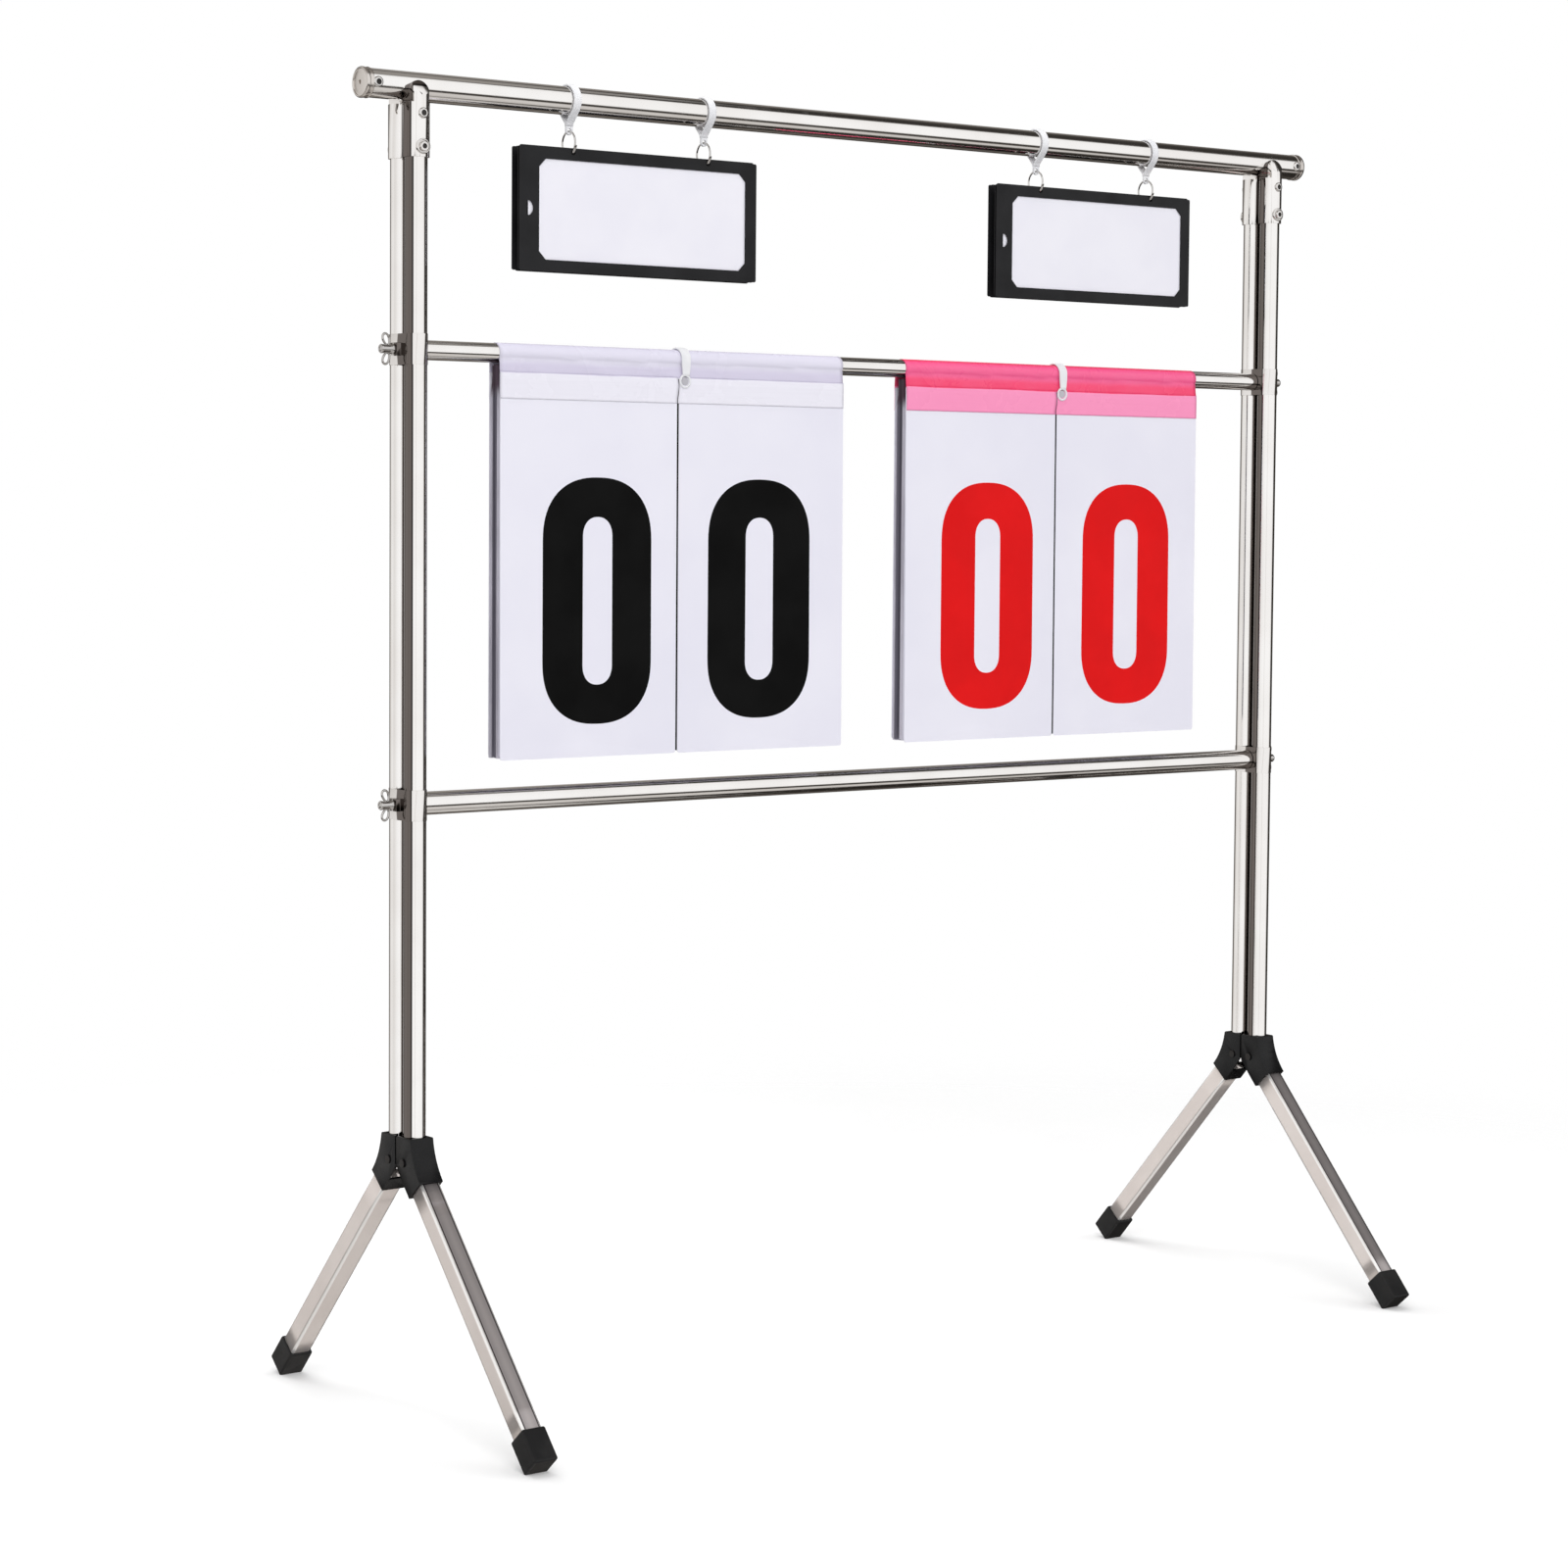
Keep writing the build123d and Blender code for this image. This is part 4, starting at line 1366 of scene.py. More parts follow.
@dataclass
class Stand:
    """Tubes, sleeves, screws and folding legs of the stand."""

    cap_x: float = 0.7073
    pivot_z: float = 0.2935
    leg_side: float = 0.025
    leg_corner: float = 0.0033
    leg_from: float = 0.0185
    leg_to: float = 0.3787
    sleeve_round: float = 0.0007
    knuckle_round: float = 0.0012
    screw_y: float = 0.0300
    washer_lift: float = 0.0012
    upper_screw_z: float = 1.445
    lower_screw_z: float = 1.409
    rail_screw: Point = (0.703, -0.0158)

    def caps(self) -> None:
        """Caps of the top rail, each with a rolled rim round a low dome and a small centre hole."""
        ends = [lathe("cap", CAP_PROFILE, Matrix.Translation((hand.value * self.cap_x, 0.0, TOP_RAIL_Z))
                      @ hand.turn(), CAP_STEEL, 64) for hand in Hand]
        place_piece(joined("end_caps", ends), "stand", "polished_stainless", "rail_caps")

    def leg(self, hand: Hand, side: Side) -> None:
        """Square tube with rolled corners from its knuckle to its foot.

        Args:
            hand: End of the stand.
            side: Front or rear.
        """
        run = Vector((side.value * math.sin(LEG_LEAN), -math.cos(LEG_LEAN)))
        pivot = Vector((side.value * POST_Y, self.pivot_z))
        path = [tuple(pivot + run * (self.leg_from + (self.leg_to - self.leg_from) * k / 6))
                for k in range(7)]
        tag = side.tag(hand)
        tube = sweep("tube_" + tag, path, self.leg_side, self.leg_side, hand.value * POST_X,
                     LEG_FRONT_STEEL if side is Side.FRONT else LEG_REAR_STEEL,
                     self.leg_corner / self.leg_side)
        place_piece(tube, "folding_leg_" + tag, "satin_stainless", "leg_" + tag)

    def screws(self) -> None:
        """Screws of the sleeves and the rail, with the washers under the lower ones."""
        for label, profile, z, lift in (("upper", SLIM_HEAD, self.upper_screw_z, 0.0),
                                        ("lower", WASHERED_HEAD, self.lower_screw_z, self.washer_lift)):
            y = self.screw_y + lift
            self.seat_screws(label, profile, [(hand.value * POST_X, side.value * y, z)
                                              for hand in Hand for side in Side])
        x, y = self.rail_screw
        self.seat_screws("rail", SLIM_HEAD, [(hand.value * x, y, TOP_RAIL_Z) for hand in Hand])
        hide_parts("frame_screws")
        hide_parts("bolt_washers")

    def seat_screws(self, label: str, profile: list[Point], seats: list[Place]) -> None:
        """Put one kind of screw at its seats, with a dark plug down in its socket as painted shade in the
        recess.

        Args:
            label: Which screws.
            profile: Turned profile of the head.
            seats: Where they sit; they look along Y away from the middle.
        """
        socket = profile[-2][0] * 0.98
        floor = profile[-1][1]
        # Dark plug in the socket: painted shade standing in for the shadow in the recess.
        shade_plug = [(0.0, 0.0), (socket, 0.0), (socket, floor + 0.0003), (socket * 0.4, floor + 0.0001),
                (0.0, floor + 0.0001)]
        for name, shape, steel in (("screws_" + label, profile, SCREW_STEEL),
                                   ("sockets_" + label, shade_plug, PIN_STEEL)):
            head = lathe("head", shape, Matrix.Identity(4), steel, 32)
            piece = seat_rule(name, seats, head, steel)
            bpy.data.objects.remove(head)
            place_piece(piece, "stand", "screw_steel")

    def build(self) -> None:
        """Dress the whole stand."""
        for node in ("top_rail", "mid_rail", "lower_rail"):
            dress(node, RAIL_STEEL)
        dress("elbow_pins", PIN_STEEL)
        self.caps()
        self.screws()
        for hand in Hand:
            for side in Side:
                tag = side.tag(hand)
                dress("post_" + tag, POST_STEEL)
                dress("foot_" + tag, FOOT_RUBBER)
                sleeve = softened_copy("bracket_" + tag, "sleeve_" + tag, SLEEVE_STEEL, self.sleeve_round)
                place_piece(sleeve, "stand", "polished_stainless", "bracket_" + tag)
                self.leg(hand, side)
        for tag in [side.tag(hand) for hand in Hand for side in Side]:
            knuckle = softened_copy("elbow_" + tag, "knuckle_" + tag, KNUCKLE_NYLON, self.knuckle_round)
            place_piece(knuckle, "folding_leg_" + tag, "black_nylon", "elbow_" + tag)


@dataclass
class CrossRailClamps:
    """Bands, nuts and wing bolts that hold one cross rail."""

    rail: str
    height: float
    seat: float = 0.6743
    shank_from: float = 0.658
    hub_length: float = 0.0165
    hub_radius: float = 0.0060
    wing_radius: float = 0.0058
    wing_reach: float = 0.0120
    wing_thick: float = 0.0027
    band_round: float = 0.00035
    band_radius: float = 0.0131
    band_found: Point = (0.0134, 0.0145)

    def turned(self, name: str, profile: list[Point], hand: Hand, x: float, steps: int) -> Piece:
        """Part of a wing bolt turned about the bolt's axis.

        Args:
            name: Name of the part.
            profile: Its profile.
            hand: End of the rail.
            x: Where the profile starts.
            steps: Faces round it.

        Returns:
            The part.
        """
        place = Matrix.Translation((hand.value * x, 0.0, self.height)) @ hand.turn()
        return lathe(name, profile, place, WING_STEEL, steps)

    def hub(self, hand: Hand) -> Piece:
        """Turned hub of a wing bolt with the bolt's end in its middle.

        Args:
            hand: End of the rail.

        Returns:
            The hub.
        """
        r = self.hub_radius
        end = self.hub_length
        return self.turned("hub", [
            (0.0, 0.0), (r * 0.92, 0.0), (r, 0.0006), (r, 0.0020), (r * 0.80, 0.0034), (r * 0.74, 0.0060),
            (r * 0.84, end - 0.0022), (r * 0.86, end - 0.0010), (r * 0.78, end - 0.0001), (r * 0.56, end),
            (r * 0.50, end - 0.0006), (r * 0.46, end - 0.0009), (r * 0.44, end - 0.0004),
            (r * 0.36, end - 0.0001), (0.0, end)], hand, self.seat, 40)

    def shank(self, hand: Hand) -> Piece:
        """Plain shank from the hub in between the posts.

        Args:
            hand: End of the rail.

        Returns:
            The shank.
        """
        length = self.seat - self.shank_from
        return self.turned("shank", [(0.0, 0.0), (0.0020, 0.0), (0.0025, 0.0006), (0.0025, length),
                                     (0.0, length)], hand, self.shank_from, 24)

    def wings(self, hand: Hand) -> list[Piece]:
        """Two open wings bent from rod, rooted in the hub.

        Args:
            hand: End of the rail.

        Returns:
            The wings.
        """
        result = []
        steps = 36
        root = self.seat + self.hub_length * 0.42
        for way in (-1, 1):
            middle = Vector((hand.value * (root + 0.0022), 0.0, self.height + way * self.wing_reach * 0.86))
            lean = Vector((hand.value * 0.34, 0.0, way * 0.94))
            across = Vector((lean.z, 0.0, -lean.x))
            points = []
            for k in range(steps):
                angle = 2 * math.pi * k / steps
                along = lean * math.cos(angle) * self.wing_radius * 1.12
                wide = across * math.sin(angle) * self.wing_radius * (0.66 + 0.12 * math.cos(angle))
                centre = middle + along + wide
                out = (along + wide).normalized()
                for n in range(10):
                    turn = 2 * math.pi * n / 10
                    points.append(tuple(centre + out * math.cos(turn) * self.wing_thick / 2
                                        + Vector((0.0, math.sin(turn) * self.wing_thick / 2, 0.0))))
            result.append(outward(mesh_piece("wing", points, skin(steps, 10, True), [WING_STEEL])))
        return result

    def build(self) -> None:
        """Make both wing bolts and dress the bands."""
        node = self.rail + "_rail_bands"
        bands = softened_copy(node, self.rail + "_bands", CLAMP_STEEL, self.band_round, 2)
        for point in bands.data.vertices:
            axis = Vector((math.copysign(POST_X, point.co.x), math.copysign(POST_Y, point.co.y)))
            arm = point.co.xy - axis
            if self.band_found[0] < arm.length < self.band_found[1]:
                point.co.xy = axis + arm * (self.band_radius / arm.length)
        place_piece(bands, self.rail + "_bar", "clamp_steel", node)
        for hand in Hand:
            name = f"{self.rail}_wing_bolt_{hand.name.lower()}"
            bolt = joined(name + "_cast", [self.hub(hand), *self.wings(hand), self.shank(hand)])
            place_piece(bolt, f"{self.rail}_wing_{hand.name.lower()}", "clamp_steel", name)


# ------------------------------------------------------------------ name holders
@dataclass
class NameHolder:
    """Two card pockets back to back on rings and hooks."""

    hand: Hand
    centre: float
    half: float = 0.166
    top: float = 1.4225
    height: float = 0.1395
    face: float = 0.0095
    sheet: float = 0.0009
    depth: float = 0.0035
    window: tuple[float, float, float, float] = (0.026, 0.018, 0.013, 0.014)
    chamfer: float = 0.009
    inset: float = 0.0065
    corner: float = 0.0022
    gape_length: float = 0.045
    gape: Point = (0.0008, 0.0050)
    weld_start: float = 0.002
    weld_end: float = 0.005
    weld_low: Point = (0.0012, 0.0042)
    weld_top: Point = (0.0014, 0.0044)
    card_margins: tuple[float, float, float, float] = (0.012, 0.0095, 0.0057, 0.0112)
    hole_radius: float = 0.003
    hook_pitch: float = 0.094
    hook_radius: float = 0.0176
    hook_opening: float = math.radians(48.0)
    hook_width: float = 0.0100
    hook_thick: float = 0.0026
    stem_half: float = 0.0009
    eye_radius: float = 0.0025
    eye_rim: float = 0.0046
    ring_radius: float = 0.0135
    ring_drop: float = 0.0475
    ring_wire: float = 0.00105

    @property
    def low(self) -> float:
        """Lower edge of the pockets."""
        return self.top - self.height

    def bulge(self, x: float, z: float) -> float:
        """How far the mouth of a pocket gapes at a point measured from the pocket's middle.

        Args:
            x: Place along the pocket.
            z: Height.

        Returns:
            Share of the full gape.
        """
        along = max(0.0, min(1.0, (self.gape_length - (x + self.half)) / self.gape_length))
        rise = (z - self.low) / self.height
        return (along * along * (3 - 2 * along)) * max(0.0, math.sin(math.pi * rise)) ** 0.8

    def turned(self, piece: Piece, side: Side) -> Piece:
        """Move a pocket piece from its middle to its place, turned round for the rear.

        Args:
            piece: Piece built about x = 0.
            side: Front or rear.

        Returns:
            The placed piece.
        """
        turn = Matrix.Rotation(math.pi if side is Side.REAR else 0.0, 4, "Z")
        piece.data.transform(Matrix.Translation((self.centre, 0.0, 0.0)) @ turn)
        return piece

    def outline(self, left: float, right: float, low: float, top: float, corner: float) -> list[Point]:
        """Rounded rectangle.

        Args:
            left: Left edge.
            right: Right edge.
            low: Lower edge.
            top: Upper edge.
            corner: Corner radius.

        Returns:
            The outline.
        """
        loop: list[Point] = []
        for cx, cz, start in ((right - corner, low + corner, -90), (right - corner, top - corner, 0),
                              (left + corner, top - corner, 90), (left + corner, low + corner, 180)):
            loop += arc(cx, cz, corner, [start + 22.5 * k for k in range(5)])
        return loop

    def window_loop(self) -> list[Point]:
        """Window with cut corners.

        Returns:
            The outline.
        """
        open_side, shut_side, sill, head = self.window
        x0 = -self.half + open_side
        x1 = self.half - shut_side
        z0 = self.low + sill
        z1 = self.top - head
        c = self.chamfer
        return [(x0 + c, z0), (x1 - c, z0), (x1, z0 + c), (x1, z1 - c),
                (x1 - c, z1), (x0 + c, z1), (x0, z1 - c), (x0, z0 + c)]

    def moon(self) -> list[Point]:
        """Thumb notch beside the mouth.

        Returns:
            The outline.
        """
        x = -self.half + 0.0105
        z = self.low + self.height / 2
        return arc(x, z, 0.0075, range(-80, 81, 16), 0.0085) + [(x - 0.0012, z + 0.0075),
                                                                (x - 0.0012, z - 0.0075)]

    def pocket(self, side: Side) -> None:
        """Pocket of welded sheets: framed front, gaping back and a welded edge between them.

        Args:
            side: Front or rear.
        """
        lean = math.sqrt(self.ring_radius ** 2 - (self.face - self.depth / 2) ** 2)
        hole_z = TOP_RAIL_Z - self.ring_drop - lean
        holes = [ring_loop(way * self.hook_pitch, hole_z, self.hole_radius) for way in (-1, 1)]
        front = Plate("front", self.outline(-self.half, self.half - self.inset, self.low, self.top,
                                            self.corner),
                      -self.face, self.sheet, [POCKET_VINYL], [self.window_loop(), self.moon(), *holes],
                      grid=0.011, bend=lambda x, z: -self.gape[0] * self.bulge(x, z)).build()
        weld_y = -self.face + self.sheet
        back_y = -self.face + self.depth - self.sheet
        back = Plate("back", self.outline(-self.half, self.half, self.low + 0.0008, self.top - 0.0010,
                                          self.corner), back_y, self.sheet, [POCKET_VINYL], holes, grid=0.011,
                     bend=lambda x, z: self.gape[1] * self.bulge(x, z)).build()
        mouth = -self.half + self.weld_start
        right = self.half - self.inset * 0.5
        z0, z1 = (self.low + rise for rise in self.weld_low)
        z3, z2 = (self.top - drop for drop in self.weld_top)
        weld = [(mouth, z0), (right, z0), (right, z3), (mouth, z3), (mouth, z2),
                (right - self.weld_end, z2), (right - self.weld_end, z1), (mouth, z1)]
        seam = Plate("seam", weld, weld_y, back_y - weld_y, [POCKET_VINYL], grid=0.05).build()
        tag = side.tag(self.hand)
        pocket = self.turned(joined("pocket_" + tag, [front, back, seam]), side)
        place_piece(pocket, "holder_" + self.hand.name.lower(), "pocket_black", "name_pocket_" + tag)

    def card(self, side: Side) -> None:
        """Blank card behind the window, bowed a little with its pocket.

        Args:
            side: Front or rear.
        """
        tag = side.tag(self.hand)
        mouth, end, sill, head = self.card_margins
        plate = Plate("slip_" + tag, self.outline(-self.half + mouth, self.half - end, self.low + sill,
                                                  self.top - head, 0.001),
                      -self.face + self.sheet + 0.0002, 0.0004, [CARD_STOCK], grid=0.015,
                      bend=lambda x, z: 0.0004 * math.sin(7 * x + 1.0) * math.sin(22 * z) ** 2)
        place_piece(self.turned(plate.build(), side), "card_" + tag, "card_paper", "name_card_" + tag)

    def hooks(self) -> None:
        """Closed plastic hooks round the rail, each with a stem and an eye."""
        pieces = []
        gap = self.hook_opening
        half = self.stem_half
        for way in (-1, 1):
            x = self.centre + way * self.hook_pitch
            path: list[Point] = []
            for k in range(49):
                angle = -math.pi / 2 + gap + (2 * math.pi - 2 * gap) * k / 48
                path.append((self.hook_radius * math.cos(angle),
                             TOP_RAIL_Z + self.hook_radius * math.sin(angle)))
            y0, z0 = path[-1]
            foot_z = z0 + (abs(y0) - half) * -math.tan(gap)
            left = [(y0 + (-half - y0) * t, z0 + (foot_z - z0) * t) for t in (0.25, 0.5, 0.75, 1.0)]
            low = [(-half, foot_z - 0.002), (half, foot_z - 0.002)]
            right = [(-y, z) for y, z in reversed(left)]
            pieces.append(sweep("band", path + left + low + right, self.hook_width, self.hook_thick, x,
                                HOOK_PLASTIC, 0.42, True))
            eye_z = TOP_RAIL_Z - self.ring_drop + self.ring_radius + 0.0007
            outline = arc(x, eye_z - 0.0004, self.eye_rim, range(-180, 1, 15))
            outline += [(x + self.eye_rim, foot_z + 0.001), (x - self.eye_rim, foot_z + 0.001)]
            stem = Plate("stem", outline, -0.0015, 0.0030, [HOOK_PLASTIC],
                         [ring_loop(x, eye_z, self.eye_radius)], grid=0.004).build()
            round_edges(stem, 0.0006, 3, 40.0)
            pieces.append(stem)
        name = self.hand.name.lower()
        place_piece(joined("rail_hooks_" + name, pieces), "hooks_" + name, "white_hook_plastic",
                    "holder_hooks_" + name)

    def rings(self) -> None:
        """Split rings between hooks and pockets."""
        name = self.hand.name.lower()
        rings = split_ring_rule("split_rings_" + name, {
            "Radius": self.ring_radius, "Wire": self.ring_wire, "Turns": 1.22, "Rise": 0.0019,
            "First": (self.centre - self.hook_pitch - 0.00095, 0.0, TOP_RAIL_Z - self.ring_drop),
            "Step": (2 * self.hook_pitch, 0.0, 0.0)}, WIRE_STEEL)
        place_piece(rings, "holder_" + name, "ring_wire", "holder_rings_" + name)

    def build(self) -> None:
        """Make the whole holder."""
        for side in Side:
            self.pocket(side)
            self.card(side)
        self.hooks()
        self.rings()


# ------------------------------------------------------------------ number sets
# Turned profiles of the clip as (radius, height), and the skirts of the film as (y, z).
EYELET_PROFILE = [(0.0054, 0.0), (0.0056, 0.0004), (0.0056, 0.0016), (0.0061, 0.0021), (0.0069, 0.0023),
                  (0.0080, 0.0019), (0.0085, 0.0011), (0.0080, 0.0003), (0.0069, 0.0)]
# Grey disc inside the clip's eyelet: painted shade standing in for the shaded film seen through the hole.
EYELET_SHADE_PROFILE = [(0.0, 0.0001), (0.0044, 0.0001), (0.0048, 0.0006), (0.0046, 0.0012), (0.0020, 0.0014),
                  (0.0, 0.0014)]
FRONT_SKIRT = [(-0.01168, 1.1672), (-0.01150, 1.1705), (-0.01118, 1.1745), (-0.01078, 1.1795)]
REAR_SKIRT = [(0.01078, 1.1795), (0.01095, 1.1735), (0.01118, 1.1670), (0.01128, 1.1600),
              (0.01134, 1.1500), (0.01138, 1.1390)]


@dataclass
class NumberSet:
    """One team's numbers: film header, clip, front leaves and the leaves behind them."""

    team: str
    centre: float
    ink: Finish
    film: Finish
    width: float = 0.487
    gap: float = 0.0028
    rail_radius: float = 0.011
    hinge_drop: float = 0.031
    low: float = 0.7345
    film_low: float = 1.1393
    leaf_y: float = -0.01225
    leaf_thick: float = 0.0007
    film_thick: float = 0.0003
    film_top: float = 1.1692
    film_lift: float = 0.00055
    folds: int = 5
    fold_width: float = 0.006
    sheets: int = 6
    sheet_thick: float = 0.0006
    sheet_step: float = 0.00125
    face_top: float = 1.1668
    neck: Point = (1.136, 1.162)
    # Half width of the dark sheet painted as shade in the gap between tens and units.
    shade_half: float = 0.0019
    numeral_z: float = 0.91225
    numeral_shift: Point = (0.0109, -0.0033)
    clip_notch: Point = (0.020, 0.008)
    clip_shift: float = 0.010
    clip_radius: float = 0.0132
    clip_width: float = 0.0142
    clip_thick: float = 0.0022
    eyelet_drop: float = 0.0250
    seed: int = 3

    @property
    def hinge_z(self) -> float:
        """Height of the line that the leaves lift about."""
        return MID_RAIL_Z - self.hinge_drop

    def span(self, hand: Hand) -> Point:
        """Left and right edge of a tens or units leaf.

        Args:
            hand: Tens or units.

        Returns:
            The two edges along X.
        """
        inner = self.centre + hand.value * self.gap / 2
        outer = self.centre + hand.value * self.width / 2
        return (min(inner, outer), max(inner, outer))

    def prints(self, numeral: Numeral, x: float) -> list[tuple[list[Point], int]]:
        """Numeral as printed areas for a plate.

        Args:
            numeral: Which numeral.
            x: Its middle along X.

        Returns:
            Outlines with their material number: 1 is ink and 0 is sheet.
        """
        return [(loop, 1 if inked else 0) for loop, inked in numeral_loops(numeral, x, self.numeral_z)]

    def corner_outline(self, x0: float, x1: float, z0: float, z1: float, notched: bool) -> list[Point]:
        """Leaf outline with softened lower corners and, for the clip, a notch at its upper left.

        Args:
            x0: Left edge.
            x1: Right edge.
            z0: Lower edge.
            z1: Upper edge.
            notched: Whether it has the notch.

        Returns:
            The outline.
        """
        r = 0.003
        loop = [(x0, z0 + r), (x0 + r * 0.3, z0 + r * 0.3), (x0 + r, z0), (x1 - r, z0),
                (x1 - r * 0.3, z0 + r * 0.3), (x1, z0 + r), (x1, z1)]
        if notched:
            wide, deep = self.clip_notch
            return loop + [(x0 + wide, z1), (x0 + wide, z1 - deep), (x0, z1 - deep)]
        return loop + [(x0, z1)]

    def leaf(self, hand: Hand) -> None:
        """Front leaf with its printed nought.

        Args:
            hand: Tens on the left or units on the right.
        """
        place = hand.place
        x0, x1 = self.span(hand)
        shift = self.numeral_shift[0 if hand is Hand.LEFT else 1]
        middle = (x0 + x1) / 2

        def curl(x: float, z: float) -> float:
            """Outward curl towards the lower outer corner, and a slow wave.

            Args:
                x: Place along X.
                z: Height.

            Returns:
                Offset along Y.
            """
            down = max(0.0, (self.hinge_z - z) / (self.hinge_z - self.low))
            outer = max(0.0, hand.value * (x - middle) / (self.width / 4))
            return -0.0011 * down ** 3 * outer - 0.0004 * down * (1 + math.sin(26 * (x - middle) + 8 * z))

        plate = Plate(f"{self.team}_{place}_sheet",
                      self.corner_outline(x0, x1, self.low, self.hinge_z - 0.0003, hand is Hand.RIGHT),
                      self.leaf_y, self.leaf_thick, [LEAF_VINYL, self.ink],
                      prints=self.prints(Numeral.ZERO, middle + shift), grid=0.014, bend=curl, back_slot=0)
        place_piece(plate.build(), f"{self.team}_{place}_flap", f"leaf_{self.team}_set",
                    f"{self.team}_{place}_leaf")

    def piles(self) -> None:
        """Stacks of leaves in front of and behind the rail's plane, with the faces that can be seen."""
        top = MID_RAIL_Z - self.rail_radius - 0.0022
        low = self.low + 0.003
        for side in Side:
            y, numeral = (-0.0110, Numeral.ONE) if side is Side.FRONT else (0.0104, Numeral.ZERO)
            pieces = []
            for hand in Hand:
                x0, x1 = self.span(hand)
                middle = (x0 + x1) / 2
                pieces.append(pile_rule(f"{self.team}_{side.name}_{hand.name}", {
                    "Count": self.sheets, "Width": x1 - x0 - 0.0014, "Height": top - low,
                    "Thick": self.sheet_thick,
                    "First": (middle - 0.0002, side.value * 0.0095, (top + low) / 2),
                    "Step": (0.0, -side.value * self.sheet_step, 0.0),
                    "Neck low": self.neck[0], "Neck high": self.neck[1],
                    "Gather": 0.44, "Seed": self.seed + hand.value + 5 * side.value}, PILE_VINYL))
                pieces.append(Plate(
                    "face", self.corner_outline(x0 + 0.0003, x1 - 0.0003, low, self.face_top, False), y,
                    self.sheet_thick, [LEAF_VINYL, self.ink], prints=self.prints(numeral, middle),
                    grid=0.02).build())
            # Dark sheet between the tens and units: painted shade standing in for the shadow deep in the gap.
            left = self.centre - self.shade_half
            right = self.centre + self.shade_half
            pieces.append(Plate("shade", [(left, low), (right, low), (right, self.face_top),
                                          (left, self.face_top)],
                                side.value * 0.0108 - 0.0004, 0.0008, [BLACK_INK], grid=0.03).build())
            name = f"{self.team}_{side.name.lower()}"
            place_piece(joined(name + "_stack", pieces), self.team + "_set", f"leaf_{self.team}_set",
                        name + "_pile")

    def film_profile(self) -> list[Point]:
        """Film over the rail from the front fold to the lower edge of the rear skirt, as (y, z)."""
        r = self.rail_radius + self.film_lift
        return FRONT_SKIRT + arc(0.0, MID_RAIL_Z, -r, range(-28, 209, 6), r) + REAR_SKIRT

    def header(self) -> None:
        """Film over the rail, with its rear skirt."""
        x0 = self.centre - self.width / 2
        x1 = self.centre + self.width / 2
        profile = self.film_profile()
        columns = 90
        points = []
        for i in range(columns + 1):
            x = x0 + (x1 - x0) * i / columns
            for k, (y, z) in enumerate(profile):
                sag = 0.00018 * math.sin(61 * x + 0.8 * k) + 0.00012 * math.sin(143 * x + 1.7 * k)
                end = max(0.0, 1 - min(x - x0, x1 - x) / 0.010)
                slack = 0.25 if z > MID_RAIL_Z - 0.004 else 1.0
                out = math.copysign(1.0, y) if abs(y) > 0.002 else 0.0
                points.append((x, y + out * (sag * slack + abs(sag)) * slack - out * 0.0004 * end * slack, z))
        faces = skin(columns + 1, len(profile), tube=False)
        piece = mesh_piece(self.team + "_film", points, faces, [self.film])
        self.thicken(piece, 1.0)
        place_piece(piece, self.team + "_set", self.slot_name(), self.team + "_header")

    def thicken(self, piece: Piece, way: float) -> None:
        """Give a sheet of film its thickness.

        Args:
            piece: The sheet.
            way: 1 to add it along the faces' normals, -1 against them.
        """
        solid = piece.modifiers.new("gauge", "SOLIDIFY")
        solid.thickness = self.film_thick
        solid.offset = way
        bake_modifiers(piece)

    def slot_name(self) -> str:
        """Record slot of this team's film."""
        return "lilac_film" if self.team == "black" else "pink_film"

    def film_strip(self, hand: Hand) -> None:
        """Pale strip of film over the top of one leaf.

        Args:
            hand: Tens or units.
        """
        place = hand.place
        x0, x1 = self.span(hand)
        rows = 16
        columns = 60
        points = []
        creases = random.Random(self.seed + hand.value)
        folds = [(creases.uniform(x0, x1), creases.uniform(-1.6, 1.6), creases.uniform(0.4, 1.0))
                 for _ in range(self.folds)]
        for i in range(columns + 1):
            for k in range(rows + 1):
                z = self.film_top - (self.film_top - self.film_low) * k / rows
                slit = 0.0011 * math.sin(1.5 * math.pi * k / rows) - 0.0008 * hand.value
                near = i / columns if hand is Hand.LEFT else 1 - i / columns
                x = x0 + (x1 - x0) * i / columns + slit * near ** 6
                pull = sum(depth * math.exp(-((x - at - slope * (z - 1.15)) / self.fold_width) ** 2)
                           for at, slope, depth in folds)
                edge = min(1.0, 6 * k / rows, 6 * (rows - k) / rows)
                y = self.leaf_y - 0.0006 + 0.0004 * max(0.0, 1 - k / 4) - 0.00010 * pull * edge
                points.append((x, y, z))
        faces = skin(columns + 1, rows + 1, tube=False)
        piece = mesh_piece(f"{self.team}_{place}_film", points, faces, [self.film])
        self.thicken(piece, -1.0)
        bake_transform(piece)
        LOG.info("%s bends from %s_set to its leaf", piece.name, self.team)

